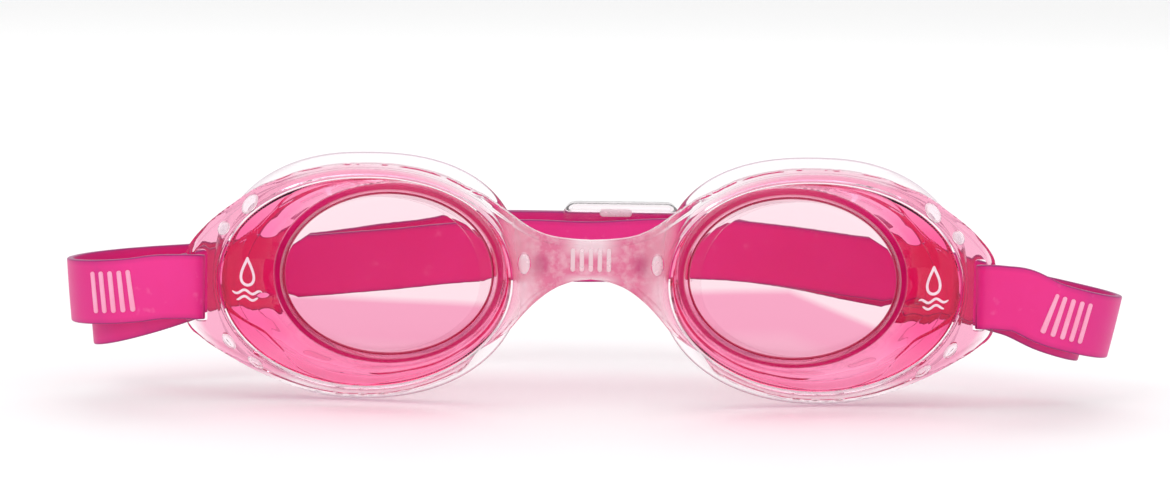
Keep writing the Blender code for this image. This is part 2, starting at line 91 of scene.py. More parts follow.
# the straps' tails overlap at the back, inside the clip
OUTER_Y = 56.0
TAIL_STEP = STRAP_THICK + 0.4
BACK_Z = AXIS_Z + 3.2
CLIP_X, CLIP_WIDTH, CLIP_HEIGHT = 6.0, 23.0, 15.8
CLIP_ROUND, CLIP_CORNER = 0.9, 2.6
CLIP_FRONT = OUTER_Y - STRAP_THICK / 2 - 1.6
CLIP_BACK = OUTER_Y + TAIL_STEP + STRAP_THICK / 2 + 1.7


# ------------------------------------------------------------------ curves
def ease(x, start, end):
    """Smooth step from 0 at start to 1 at end."""
    share = np.clip((x - start) / (end - start), 0, 1)
    return share * share * (3 - 2 * share)


def turned(u, v, degrees, x, z):
    """Points (u, v) turned about the origin, then moved to (x, z)."""
    angle = math.radians(degrees)
    c, s = math.cos(angle), math.sin(angle)
    return np.stack([x + u * c - v * s, z + u * s + v * c], axis=1)


def oval_at(oval, t, grow=0.0):
    c, s = np.cos(t), np.sin(t)
    power = oval.power
    if isinstance(power, tuple):
        power = np.where(s < 0, power[2], np.where(c < 0, power[0], power[1]))
    half_width = np.where(c > 0, oval.outer, oval.inner) + grow
    half_height = np.where(s > 0, oval.up, oval.down) + grow
    u = np.sign(c) * np.abs(c) ** (2 / power) * half_width
    v = np.sign(s) * np.abs(s) ** (2 / power) * half_height
    return turned(u, v, oval.tilt, oval.x, oval.z)


def arc_length(points):
    """Length along the points, up to each of them."""
    steps = np.linalg.norm(np.diff(points, axis=0), axis=1)
    return np.concatenate([[0], np.cumsum(steps)])


def points_along(want, run, points):
    """Points at the lengths `want`, where `run` is the length up to each given point."""
    columns = [np.interp(want, run, points[:, k]) for k in range(points.shape[1])]
    return np.stack(columns, axis=-1)


def resample(points, count):
    run = arc_length(points)
    return points_along(np.linspace(0, run[-1], count), run, points)


def even_t(oval, count):
    """Parameters that space the points of an oval evenly along its outline."""
    t = np.linspace(0, 2 * math.pi, 4001)
    run = arc_length(oval_at(oval, t))
    return np.interp(np.arange(count) * run[-1] / count, run, t)


def catmull(points, per):
    """Open centripetal Catmull-Rom curve, with `per` samples between two points."""
    p = np.array(points, float)
    p = np.vstack([2 * p[0] - p[1], p, 2 * p[-1] - p[-2]])
    out = []
    for i in range(1, len(p) - 2):
        a, b, c, d = p[i - 1:i + 3]
        t1 = np.linalg.norm(b - a) ** 0.5
        t2 = t1 + np.linalg.norm(c - b) ** 0.5
        t3 = t2 + np.linalg.norm(d - c) ** 0.5
        for t in np.linspace(t1, t2, per, endpoint=False):
            a1 = (t1 - t) / t1 * a + t / t1 * b
            a2 = (t2 - t) / (t2 - t1) * b + (t - t1) / (t2 - t1) * c
            a3 = (t3 - t) / (t3 - t2) * c + (t - t2) / (t3 - t2) * d
            b1 = (t2 - t) / t2 * a1 + t / t2 * a2
            b2 = (t3 - t) / (t3 - t1) * a2 + (t - t1) / (t3 - t1) * a3
            out.append((t2 - t) / (t2 - t1) * b1 + (t - t1) / (t2 - t1) * b2)
    out.append(p[-2])
    return np.array(out)


def bspline_rings(keys, per):
    """Closed uniform cubic B-spline across key rings, with `per` rings for each key."""
    keys = np.asarray(keys, float)
    out = []
    for i in range(len(keys)):
        a, b, c, d = (keys[(i + j) % len(keys)] for j in range(-1, 3))
        for t in np.arange(per) / per:
            out.append(((1 - t) ** 3 * a + (3 * t ** 3 - 6 * t ** 2 + 4) * b
                        + (-3 * t ** 3 + 3 * t ** 2 + 3 * t + 1) * c + t ** 3 * d) / 6)
    return np.array(out)


def rounded_rect(x, z, width, height, radius, steps=8):
    """Outline with steps + 1 points in each corner."""
    out = []
    for side_x, side_z, start in ((1, 1, 0), (-1, 1, 90), (-1, -1, 180), (1, -1, 270)):
        for k in range(steps + 1):
            a = math.radians(start + 90 * k / steps)
            out.append((x + side_x * (width / 2 - radius) + radius * math.cos(a),
                        z + side_z * (height / 2 - radius) + radius * math.sin(a)))
    return np.array(out)


def ring_at(flat, y):
    """A ring in space from (x, z) points; y is one depth, or one for each point."""
    return np.stack([flat[:, 0], np.full(len(flat), y), flat[:, 1]], axis=1)


def pulled_in(flat, middle, distance):
    toward = flat - middle
    return flat - toward / np.linalg.norm(toward, axis=1)[:, None] * distance


# ------------------------------------------------------------------ shared surfaces
def window_y(x):
    """Plane of the lens window, which leans back towards the temple."""
    return -6.0 + math.tan(math.radians(8)) * (x - WINDOW.x)


def brow_y(x):
    return 1.0 + 5.5 * (np.clip(x - 14.6, 0, None) / 54.0) ** 1.5


def flange_y(x, z):
    return brow_y(x) + 0.9 * ((z + 4.0) / 20.0) ** 2


def face_y(x, z):
    """Surface on which the gasket meets the face."""
    return (9.5 + 10.5 * (np.clip(x - 13.0, 0, None) / 58.0) ** 1.6
            + 2.0 * ((z + 4.0) / 22.0) ** 2)


# ------------------------------------------------------------------ meshes
def solid(name, points, faces, values=None, material=None, smooth=True, weld=False):
    """A linked object from points in mm, with its faces wound outwards."""
    mesh = bpy.data.meshes.new(name)
    mesh.from_pydata((np.asarray(points) * MM).tolist(), [],
                     [tuple(map(int, face)) for face in faces])
    for key, numbers in (values or {}).items():
        layer = mesh.attributes.new(key, "FLOAT", "POINT")
        layer.data.foreach_set("value", np.asarray(numbers, np.float32).reshape(-1))
    bm = bmesh.new()
    bm.from_mesh(mesh)
    if weld:
        loose = [v for v in bm.verts if not v.link_faces]
        bmesh.ops.delete(bm, geom=loose, context="VERTS")
        bmesh.ops.remove_doubles(bm, verts=bm.verts, dist=1e-7)
    bmesh.ops.recalc_face_normals(bm, faces=bm.faces)
    if bm.calc_volume(signed=True) < 0:
        bmesh.ops.reverse_faces(bm, faces=bm.faces)
    bm.to_mesh(mesh)
    bm.free()
    if smooth:
        mesh.shade_smooth()
    obj = bpy.data.objects.new(name, mesh)
    bpy.context.scene.collection.objects.link(obj)
    if material:
        mesh.materials.append(material)
    return obj


def ring_solid(name, rings, side=1, closed=False, **options):
    """Skin over rings of equal count.  Side -1 mirrors it in X.  Closed joins the last ring
    to the first; otherwise both ends are capped."""
    rings = np.asarray(rings, float)
    count, size = rings.shape[:2]
    ids = np.arange(count * size).reshape(count, size)
    faces = []
    for i in range(count if closed else count - 1):
        a, b = ids[i], ids[(i + 1) % count]
        for j in range(size):
            k = (j + 1) % size
            faces.append((a[j], a[k], b[k], b[j]))
    if not closed:
        faces += [ids[0][::-1], ids[-1]]
    return solid(name, rings.reshape(-1, 3) * (side, 1, 1), faces, **options)


def prism(name, flat, y0, y1, side=1):
    return ring_solid(name, [ring_at(flat, y) for y in (y0, y1)], side, smooth=False)


def sharpen(obj, degrees):
    obj.data.set_sharp_from_angle(angle=math.radians(degrees))


def cut(obj, cutters, material, sharp_degrees):
    """Subtract the cutters, remove them and give the result its one material."""
    for i, cutter in enumerate(cutters):
        mod = obj.modifiers.new(f"cut_{i}", "BOOLEAN")
        mod.operation, mod.solver, mod.object = "DIFFERENCE", "EXACT", cutter
    bpy.context.view_layer.update()
    graph = bpy.context.evaluated_depsgraph_get()
    graph.update()
    mesh = bpy.data.meshes.new_from_object(obj.evaluated_get(graph), depsgraph=graph)
    mesh.name = obj.name
    obj.modifiers.clear()
    obj.data = mesh
    for cutter in cutters:
        bpy.data.objects.remove(cutter, do_unlink=True)
    mesh.materials.clear()
    mesh.materials.append(material)
    mesh.shade_smooth()
    sharpen(obj, sharp_degrees)


# ------------------------------------------------------------------ node helper
class Nodes:
    """Builds the node tree of one material or world."""

    def __init__(self, owner, output="ShaderNodeOutputMaterial"):
        self.owner = owner
        owner.use_nodes = True
        self.tree = owner.node_tree
        self.tree.nodes.clear()
        self.output = self.add(output)

    def add(self, kind, inputs=None, **settings):
        node = self.tree.nodes.new(kind)
        for key, value in settings.items():
            setattr(node, key, value)
        for key, value in (inputs or {}).items():
            self.put(node.inputs[key], value)
        return node

    def put(self, socket, value):
        """Link another socket, or set a value; colours may leave out their alpha."""
        if isinstance(value, bpy.types.NodeSocket):
            self.tree.links.new(value, socket)
            return
        if isinstance(value, tuple) and len(value) == 3 and socket.type == "RGBA":
            value = (*value, 1.0)
        socket.default_value = value

    def coords(self, space="Object"):
        return self.add("ShaderNodeTexCoord").outputs[space]

    def axes(self, space="Object"):
        return self.add("ShaderNodeSeparateXYZ", {"Vector": self.coords(space)}).outputs

    def noise(self, scale, detail=3.0, rough=0.5):
        return self.add("ShaderNodeTexNoise", {
            "Scale": scale, "Detail": detail, "Roughness": rough,
            "Vector": self.coords()}).outputs["Fac"]

    def ramp(self, value, over, to=(0.0, 1.0), easing="LINEAR"):
        """Map the range `over` of a value, clamped, to the range `to`."""
        return self.add("ShaderNodeMapRange", {
            "Value": value, "From Min": over[0], "From Max": over[1],
            "To Min": to[0], "To Max": to[1]}, interpolation_type=easing).outputs["Result"]

    def mix(self, share, first, second):
        # sockets 6 and 7 are the two colours, and output 2 is their mix
        return self.add("ShaderNodeMix", {0: share, 6: first, 7: second},
                        data_type="RGBA").outputs[2]

    def fade(self, value, over, colours):
        """First colour at the low end of `over`, second at the high end."""
        return self.mix(self.ramp(value, over=over), *colours)

    def attr(self, name):
        return self.add("ShaderNodeAttribute", attribute_name=name).outputs["Fac"]

    def bump(self, height, distance, strength):
        return self.add("ShaderNodeBump", {
            "Distance": distance, "Strength": strength, "Height": height}).outputs["Normal"]

    def principled(self, **values):
        inputs = {key.replace("_", " "): value for key, value in values.items()}
        return self.add("ShaderNodeBsdfPrincipled", inputs).outputs["BSDF"]

    def grazing(self, over):
        """0 where the surface faces the viewer, 1 along its outline."""
        weight = self.add("ShaderNodeLayerWeight", {"Blend": 0.5})
        return self.ramp(weight.outputs["Facing"], over=over)

    def maths(self, operation, *values):
        return self.add("ShaderNodeMath", dict(enumerate(values)),
                        operation=operation).outputs[0]

    def lowered(self, start, by, where):
        return self.maths("SUBTRACT", start, self.maths("MULTIPLY", where, by))

    def raised(self, start, by, where):
        return self.maths("ADD", start, self.maths("MULTIPLY", where, by))

    def finish(self, shader):
        self.put(self.output.inputs["Surface"], shader)
        return self.owner

    def finish_clear(self, shader, shadow):
        """Lamps shine through the piece, tinted, instead of leaving a black shadow."""
        see = self.add("ShaderNodeBsdfTransparent", {"Color": shadow})
        path = self.add("ShaderNodeLightPath")
        both = self.add("ShaderNodeMixShader", {
            0: path.outputs["Is Shadow Ray"], 1: shader, 2: see.outputs[0]})
        return self.finish(both.outputs[0])


def new_material(name):
    return Nodes(bpy.data.materials.new(name))


# ------------------------------------------------------------------ materials
def frame_material():
    """Clear soft plastic that turns milky and faintly pink towards the nose bridge."""
    mat = new_material("clear_soft_plastic")
    place = mat.axes()
    height = place["Z"]
    across = mat.maths("ABSOLUTE", place["X"])
    cloud = mat.noise(scale=55.0, detail=4.0)
    wander = mat.ramp(cloud, over=(0.3, 0.7), to=(-0.0012, 0.0012))
    milk = mat.ramp(mat.maths("ADD", across, wander), over=(0.0085, 0.0165), to=(1.0, 0.0))
    middle = mat.ramp(across, over=(0.002, 0.006), to=(1.0, 0.0))
    clear = mat.fade(cloud, over=(0.35, 0.7),
                     colours=((0.99, 0.968, 0.975), (0.985, 0.94, 0.953)))
    # pale along the lower edge of the bridge and, as a painted highlight from above, along its
    # upper edge; pinker between them
    painted_top_highlight = mat.ramp(height, over=(0.0010, 0.0026))
    lower = mat.ramp(height, over=(-0.0026, -0.0015), to=(1.0, 0.0))
    pale = mat.maths("MULTIPLY", mat.maths("MAXIMUM", painted_top_highlight, lower), middle)
    # pale streaks, and a pinker patch beside each nose peg
    streak = mat.ramp(mat.noise(scale=520.0, detail=4.0, rough=0.6),
                      over=(0.44, 0.66), to=(0.0, 0.45))
    pale = mat.maths("MAXIMUM", pale, streak)
    beside = mat.maths("MULTIPLY", mat.ramp(across, over=(0.0070, 0.0088)),
                       mat.ramp(across, over=(0.0100, 0.0112), to=(1.0, 0.0)))
    beside = mat.maths("MULTIPLY", beside, mat.ramp(mat.maths("ABSOLUTE", height),
                                                    over=(0.0008, 0.0026), to=(0.7, 0.0)))
    milky = mat.mix(pale, (0.80, 0.23, 0.39), (0.94, 0.78, 0.83))
    milky = mat.mix(beside, milky, (0.56, 0.05, 0.21))
    # a pink glow next to the lenses, reaching further out on the arms
    half_width, half_height = 0.027, 0.0193
    glow_x = mat.maths("DIVIDE", mat.maths("SUBTRACT", across, FLANGE.x * MM), half_width)
    glow_z = mat.maths("DIVIDE", mat.maths("ADD", height, -FLANGE.z * MM), half_height)
    radius = mat.maths("SQRT", mat.maths("ADD", mat.maths("MULTIPLY", glow_x, glow_x),
                                         mat.maths("MULTIPLY", glow_z, glow_z)))
    reach = mat.maths("ADD", mat.ramp(across, over=(0.054, 0.066), to=(0.0, 0.19)),
                      mat.ramp(height, over=(0.004, 0.014), to=(0.0, 0.045)))
    glow = mat.ramp(mat.maths("SUBTRACT", radius, reach), over=(1.005, 1.085), to=(1.0, 0.0))
    clear = mat.mix(glow, clear, (0.92, 0.42, 0.58))
    # painted shade along the outlines, standing in for the darker surroundings refracted at the
    # edges
    clear = mat.mix(mat.grazing(over=(0.50, 0.92)), clear, (0.62, 0.38, 0.49))
    rough = mat.ramp(cloud, over=(0.3, 0.75), to=(0.02, 0.055))
    shader = mat.principled(
        Base_Color=mat.mix(milk, clear, milky),
        Roughness=mat.raised(rough, by=0.22, where=milk), IOR=1.38,
        Transmission_Weight=mat.lowered(1.0, by=0.72, where=milk),
        Normal=mat.bump(mat.noise(scale=900.0, detail=2.0), distance=0.00002, strength=0.5))
    return mat.finish_clear(shader, shadow=(0.99, 0.95, 0.965))


def peg_material():
    """Clear plastic with a milky rounded rim."""
    mat = new_material("clear_pegs")
    rim = mat.attr("rim")
    cloud = mat.noise(scale=240.0)
    middle = mat.fade(cloud, over=(0.3, 0.7), colours=((0.985, 0.90, 0.93), (0.97, 0.84, 0.89)))
    shader = mat.principled(
        Base_Color=mat.mix(rim, middle, (0.97, 0.80, 0.87)),
        Roughness=mat.ramp(cloud, over=(0.3, 0.7), to=(0.05, 0.12)), IOR=1.06,
        Transmission_Weight=mat.lowered(1.0, by=0.75, where=rim),
        Normal=mat.bump(mat.noise(scale=1200.0, detail=2.0), distance=0.00002, strength=0.4))
    return mat.finish_clear(shader, shadow=(0.99, 0.95, 0.965))


def frosted_material():
    """Milky plastic: the bridge ribs, the nose pegs and the raised pads on the clip."""
    mat = new_material("milky_plastic")
    cloud = mat.noise(scale=260.0)
    shader = mat.principled(
        Base_Color=mat.fade(cloud, over=(0.3, 0.7),
                            colours=((0.97, 0.84, 0.88), (0.94, 0.77, 0.82))),
        Roughness=mat.ramp(cloud, over=(0.3, 0.7), to=(0.18, 0.34)), IOR=1.46,
        Transmission_Weight=0.35,
        Normal=mat.bump(mat.noise(scale=1200.0, detail=2.0), distance=0.00002, strength=0.4))
    return mat.finish_clear(shader, shadow=(0.98, 0.9, 0.93))


def clear_material(name, tint, rough, shadow, grain, ior, bump, coat, line):
    """Clear plastic with the colour `line` painted along outlines and on the "line" attribute:
    painted shade standing in for the darker surroundings refracted at the edges.
    """
    mat = new_material(name)
    cloud = mat.noise(scale=55.0, detail=4.0)
    deeper = tuple(c * k for c, k in zip(tint, (1.0, 0.955, 0.97)))
    colour = mat.fade(cloud, over=(0.35, 0.7), colours=(tint, deeper))
    # painted shade: the line colour where the surface turns away from the view, and on the marked
    # rings
    outline_shade = mat.maths("MAXIMUM", mat.grazing(over=(0.55, 0.92)), mat.attr("line"))
    shader = mat.principled(
        Base_Color=mat.mix(outline_shade, colour, line),
        Roughness=mat.ramp(cloud, over=(0.3, 0.75), to=(rough * 0.6, rough * 1.7)),
        IOR=ior, Transmission_Weight=1.0,
        Coat_Weight=coat, Coat_Roughness=0.05, Coat_IOR=1.45,
        Normal=mat.bump(mat.noise(scale=grain, detail=2.0), distance=bump, strength=0.5))
    return mat.finish_clear(shader, shadow)


def lens_material():
    """Tinted polycarbonate: pale in the flat window, deep pink where the wall is thick."""
    mat = new_material("tinted_polycarbonate")
    flank = mat.attr("flank")
    ring = mat.attr("ring")
    cloud = mat.noise(scale=40.0)
    # the moulded sides are deeper towards the temples
    near = mat.fade(cloud, over=(0.35, 0.65), colours=((1.0, 0.23, 0.44), (1.0, 0.33, 0.54)))
    far = mat.fade(cloud, over=(0.35, 0.65), colours=((0.98, 0.09, 0.31), (1.0, 0.18, 0.42)))
    flank_colour = mat.mix(mat.attr("outer"), near, far)
    # the lower part of the window is painted deeper pink in a slanting band, a painted reflection
    # of the tabletop seen through the lens
    place = mat.axes()
    dip = mat.maths("ADD", mat.ramp(place["X"], over=(0.0, 0.001), to=(0.0055, 0.0030)),
                    mat.ramp(place["X"], over=(0.036, 0.056), to=(0.0, 0.0085)))
    wander = mat.ramp(mat.noise(scale=16.0, detail=1.0), over=(0.3, 0.7), to=(-0.0008, 0.0008))
    level = mat.maths("ADD", mat.maths("ADD", place["Z"], dip), wander)
    low = mat.maths("MULTIPLY", mat.ramp(level, over=(-0.0012, 0.0002), to=(1.0, 0.0)),
                    mat.ramp(level, over=(-0.0100, -0.0070), to=(0.8, 1.0)))
    window = mat.mix(low, (0.945, 0.725, 0.785), (0.88, 0.37, 0.53))
    colour = mat.mix(flank, window, flank_colour)
    rough = mat.ramp(cloud, over=(0.3, 0.7), to=(0.01, 0.035))
    shine = mat.mix(flank, (0.18, 0.10, 0.13), (0.75, 0.62, 0.68))
    shader = mat.principled(
        Base_Color=mat.mix(ring, colour, (0.56, 0.004, 0.10)),
        Roughness=mat.raised(rough, by=0.22, where=ring),
        Transmission_Weight=mat.lowered(1.0, by=0.72, where=ring),
        Specular_IOR_Level=mat.lowered(0.5, by=0.42, where=ring),
        IOR=mat.lowered(1.5, by=0.36, where=ring),
        Specular_Tint=mat.mix(ring, shine, (0.45, 0.10, 0.22)),
        Normal=mat.bump(mat.noise(scale=260.0, detail=2.0), distance=0.00002, strength=0.25))
    return mat.finish_clear(shader, shadow=(0.99, 0.80, 0.87))


def silicone_material():
    """Strap silicone, darker on its edges, with painted shade darkening it towards the outer
    folds.
    """
    mat = new_material("pink_silicone")
    broad = mat.noise(scale=30.0, detail=4.0)
    fine = mat.noise(scale=1600.0, rough=0.6)
    speck = mat.noise(scale=420.0, detail=2.0)
    colour = mat.fade(broad, over=(0.3, 0.7), colours=((0.78, 0.014, 0.225), (0.83, 0.028, 0.28)))
    # painted shade: darker towards the outer folds
    fold = mat.ramp(mat.maths("ABSOLUTE", mat.axes()["X"]), over=(0.086, 0.096), to=(0.0, 0.55))
    edge_strength = 0.9
    edge = mat.maths("MULTIPLY", mat.attr("edge"), edge_strength)
    colour = mat.mix(fold, colour, (0.60, 0.008, 0.20))
    colour = mat.mix(edge, colour, (0.24, 0.004, 0.13))
    colour = mat.mix(mat.ramp(speck, over=(0.66, 0.8), to=(0.0, 0.25)), colour,
                     (0.95, 0.25, 0.48))
    return mat.finish(mat.principled(
        Base_Color=colour, Roughness=mat.ramp(broad, over=(0.3, 0.7), to=(0.36, 0.5)), IOR=1.41,
        Subsurface_Weight=0.25, Subsurface_Radius=(0.004, 0.0012, 0.0018),
        Subsurface_Scale=0.5, Sheen_Weight=0.12, Sheen_Roughness=0.4,
        Normal=mat.bump(fine, distance=0.00003, strength=0.6)))


def grip_material():
    """Lighter silicone for the raised grip bars."""
    mat = new_material("light_pink_silicone")
    fine = mat.noise(scale=1500.0, rough=0.6)
    broad = mat.noise(scale=200.0, detail=2.0)
    return mat.finish(mat.principled(
        Base_Color=mat.fade(broad, over=(0.3, 0.7),
                            colours=((1.0, 0.34, 0.52), (0.98, 0.42, 0.60))),
        Roughness=mat.ramp(broad, over=(0.3, 0.7), to=(0.4, 0.55)),
        Subsurface_Weight=0.2, Subsurface_Radius=(0.003, 0.0012, 0.0018),
        Subsurface_Scale=0.4, Normal=mat.bump(fine, distance=0.00003, strength=0.5)))


def print_material():
    mat = new_material("pale_print")
    speck = mat.noise(scale=900.0)
    return mat.finish(mat.principled(
        Base_Color=mat.fade(speck, over=(0.35, 0.65),
                            colours=((0.96, 0.78, 0.85), (0.90, 0.66, 0.76))),
        Roughness=mat.ramp(speck, over=(0.3, 0.7), to=(0.3, 0.5)),
        Normal=mat.bump(speck, distance=0.00002, strength=0.4)))


def floor_material():
    """Near white, painted fully white further behind the goggles to make up for the lamp light
    falling off there.
    """
    mat = new_material("pale_floor")
    colour = mat.fade(mat.noise(scale=3.0), over=(0.3, 0.7),
                      colours=((0.955, 0.955, 0.96), (0.975, 0.975, 0.975)))
    # painted light: whiter with distance, where the lamps' light falls off
    colour = mat.fade(mat.axes()["Y"], over=(0.2, 0.7), colours=(colour, (1.0, 1.0, 1.0)))
    return mat.finish(mat.principled(
        Base_Color=colour,
        Roughness=mat.ramp(mat.noise(scale=60.0), over=(0.3, 0.7), to=(0.6, 0.75)),
        Normal=mat.bump(mat.noise(scale=300.0), distance=0.0002, strength=0.2)))


CLEAR = frame_material()
PEG_CLEAR = peg_material()
FROSTED = frosted_material()
# the line colours are painted shade along the outlines, standing in for darker surroundings
# refracted at the edges
GASKET = clear_material("clear_gasket", tint=(0.985, 0.955, 0.965), rough=0.06,
                        shadow=(0.99, 0.955, 0.97), grain=1300.0, ior=1.025, bump=0.00003,
                        coat=0.5, line=(0.40, 0.22, 0.32))
CLIP = clear_material("clear_hard_plastic", tint=(0.985, 0.93, 0.95), rough=0.03,
                      shadow=(0.98, 0.9, 0.93), grain=700.0, ior=1.49, bump=0.00002,
                      coat=0.0, line=(0.90, 0.78, 0.83))
LENS = lens_material()
SILICONE = silicone_material()
GRIP = grip_material()
PRINT = print_material()


# ------------------------------------------------------------------ strap
# How each side's strap hangs: slopes of the legs leaving the slot bar, drops of the outer and
# inner band at the fold, stretch of both folds beyond FOLD_START, lean of the fold, and the
# heights above the axis of the inner band's stations across the back.
Hang = namedtuple("Hang", "front_slope rear_slope outer_drop inner_drop outer_reach "
                          "inner_reach lean rises")
HANGS = {
    "right": Hang(-0.10, -0.30, -6.9, -7.6, 1.0, 1.03, 0.22,
                  (-5.0, -2.0, 0.6, 1.5, 2.4, 2.9, 2.6)),
    "left": Hang(-0.03, -0.36, -2.4, -6.8, 0.94, 1.10, 0.07,
                 (-4.2, -1.9, 0.0, 0.5, 0.9, 1.7, 2.1)),
}
REAR_START = -0.7           # height above the axis at which the rear leg leaves the bar
LOOP_END = 79.6             # x at which both legs leave the loop
LOOP_MIDDLE = 5             # loop point on the nose side of the bar, shared by both bands
LEG_SPREAD = 0.03           # change of y per mm of x along the legs
FOLD_START = 85.0
LEAN_FROM, LEAN_TO = 80.2, 91.0
BAND_STEP = 0.55

# outer band from the front leg round the fold: x, y, share of the drop, lift
OUTER_STATIONS = (
    (85.0, 7.2, 0.45, 0.0), (91.0, 9.4, 0.72, 0.0), (96.2, 13.4, 0.92, 0.0),
    (98.4, 18.6, 1.0, 0.0), (96.4, 23.9, 0.97, 0.0), (91.2, 27.8, 0.85, 0.0),
    (84.0, 29.9, 0.66, 0.0), (74.0, 32.3, 0.45, 0.0), (62.0, 37.2, 0.22, 0.2),
    (50.0, 43.4, 0.08, 0.6), (40.0, 49.4, 0.0, 1.3), (32.0, 53.4, 0.0, 1.9))
# inner band round the fold: x, y, share of the drop
INNER_FOLD = ((85.0, 11.5, 0.64), (89.6, 13.4, 0.86), (92.3, 16.6, 0.98),
              (92.4, 20.2, 1.0), (89.6, 23.4, 0.93))
# inner band across the back: x, y; the heights are each side's rises
INNER_BACK = ((84.0, 25.2), (74.0, 27.6), (62.0, 32.4), (50.0, 38.2), (38.0, 44.2),
              (26.0, 48.8), (13.0, 51.0))
INNER_CENTRE = (0.0, 51.5, AXIS_Z + 1.8)
# ends of the outer bands, the left one lying behind the right one: x, y, z
TAILS = {
    "right": [(26.5, 55.6, BACK_Z - 0.5), (22.5, OUTER_Y - 0.05, BACK_Z),
              (17.0, OUTER_Y, BACK_Z), (4.0, OUTER_Y, BACK_Z), (-17.0, OUTER_Y, BACK_Z)],
    "left": [(24.0, 55.7 + 0.4 * TAIL_STEP, BACK_Z), (19.0, OUTER_Y + 0.85 * TAIL_STEP, BACK_Z),
             (15.5, OUTER_Y + TAIL_STEP, BACK_Z), (0.0, OUTER_Y + TAIL_STEP, BACK_Z),
             (-26.0, OUTER_Y + TAIL_STEP, BACK_Z)],
}
# x at which the bands are split into pieces
FRONT_SPLIT, REAR_SPLIT, TURN_SPLIT = 91.0, 83.6, 90.6

GRIP_COUNT, GRIP_START, GRIP_PITCH = 5, 84.6, 1.9
GRIP_LENGTH, GRIP_WIDTH, GRIP_PROUD = 0.95, 7.8, 0.24
# grip bar rings: height over the strap, inset
GRIP_RINGS = ((-0.25, 0.0), (GRIP_PROUD * 0.45, 0.0), (GRIP_PROUD * 0.8, 0.07),
              (GRIP_PROUD, 0.2))

Band = namedtuple("Band", "path up out")


def loop_points(side):
    """From the rear leg, round the nose side of the slot bar, to the front leg."""
    hang = HANGS[side]
    run = LOOP_END - WRAP_X
    points = [(LOOP_END, AXIS_Y + WRAP_RADIUS + 0.1 + LEG_SPREAD * run,
               AXIS_Z + REAR_START + hang.rear_slope * run),
              (WRAP_X + 2.0, AXIS_Y + WRAP_RADIUS + 0.05,
               AXIS_Z + REAR_START + hang.rear_slope * 2.0)]
    for k in range(7):
        a = math.radians(90 + 30 * k)
        points.append((WRAP_X + WRAP_RADIUS * math.cos(a), AXIS_Y + WRAP_RADIUS * math.sin(a),
                       AXIS_Z + (1 - k / 6) * REAR_START))
    points += [(WRAP_X + 2.0, AXIS_Y - WRAP_RADIUS, AXIS_Z + hang.front_slope * 2.0),
               (LOOP_END, AXIS_Y - WRAP_RADIUS + LEG_SPREAD * run,
                AXIS_Z + hang.front_slope * run)]
    return points


def reached(x, reach):
    return x if x < FOLD_START else FOLD_START + (x - FOLD_START) * reach


def outer_path(side):
    hang = HANGS[side]
    stations = [(reached(x, hang.outer_reach), y, AXIS_Z + (share * hang.outer_drop + lift))
                for x, y, share, lift in OUTER_STATIONS]
    return loop_points(side)[LOOP_MIDDLE:] + stations + TAILS[side]


def inner_half(side):
    hang = HANGS[side]
    stations = [(x, y, share * hang.inner_drop) for x, y, share in INNER_FOLD]
    stations += [(x, y, rise) for (x, y), rise in zip(INNER_BACK, hang.rises)]
    return loop_points(side)[:LOOP_MIDDLE + 1][::-1] + [
        (reached(x, hang.inner_reach), y, AXIS_Z + z) for x, y, z in stations]


def mirrored(points):
    return [(-x, y, z) for x, y, z in points]


def make_band(points):
    """Evenly spaced path, with the directions of the strap's width and thickness."""
    dense = catmull(points, 40)
    path = resample(dense, int(arc_length(dense)[-1] / BAND_STEP) + 1)
    for _ in range(3):
        path[1:-1] = 0.25 * path[:-2] + 0.5 * path[1:-1] + 0.25 * path[2:]
    along = np.gradient(path, axis=0)
    along /= np.linalg.norm(along, axis=1)[:, None]
    far = ease(np.abs(path[:, 0]), LEAN_FROM, LEAN_TO)
    upright = np.zeros_like(path)
    upright[:, 0] = np.where(path[:, 0] > 0, HANGS["right"].lean, -HANGS["left"].lean) * far
    upright[:, 2] = 1.0
    up = upright - (upright * along).sum(axis=1)[:, None] * along
    up /= np.linalg.norm(up, axis=1)[:, None]
    return Band(path, up, np.cross(along, up))


def strap_section():
    """Points round the strap's section, as (thickness, width)."""
    corners = rounded_rect(0, 0, STRAP_THICK, STRAP_WIDTH, STRAP_CORNER, 4)
    width = np.linspace(-1, 1, 15)[1:-1] * (STRAP_WIDTH / 2 - STRAP_CORNER)
    thick = np.full(len(width), STRAP_THICK / 2)
    return np.vstack([corners[:10], np.stack([-thick, -width], axis=1),
                      corners[10:], np.stack([thick, width], axis=1)])


def band_piece(name, band, first, stop):
    """The strap between two indices of its path; both faces are slightly crowned."""
    path, up, out = (track[first:stop] for track in band)
    thick, width = strap_section().T
    crown = 0.06 * (1 - (width / (STRAP_WIDTH / 2)) ** 2) * np.sign(thick)
    rings = (path[:, None] + (thick + crown)[None, :, None] * out[:, None]
             + width[None, :, None] * up[:, None])
    edge = np.clip((np.abs(width) - (STRAP_WIDTH / 2 - 0.42)) / 0.3, 0, 1)
    obj = ring_solid(name, rings, material=SILICONE,
                     values={"edge": np.tile(edge, (len(path), 1))})
    sharpen(obj, 60)
    return obj


def grip_bar(name, band, sign, middle):
    """A rounded bar across the strap's front face, `middle` mm along the band."""
    run = arc_length(band.path)
    rings = []
    for height, inset in GRIP_RINGS:
        flat = rounded_rect(0, 0, GRIP_LENGTH - 2 * inset, GRIP_WIDTH - 2 * inset,
                            GRIP_LENGTH / 2 - inset - 0.02, 6)
        path, up, out = (points_along(middle + flat[:, 0], run, track) for track in band)
        rings.append(path + up * flat[:, 1:]
                     + out * sign * (STRAP_THICK / 2 + 0.05 + height))
    return ring_solid(name, rings, material=GRIP)


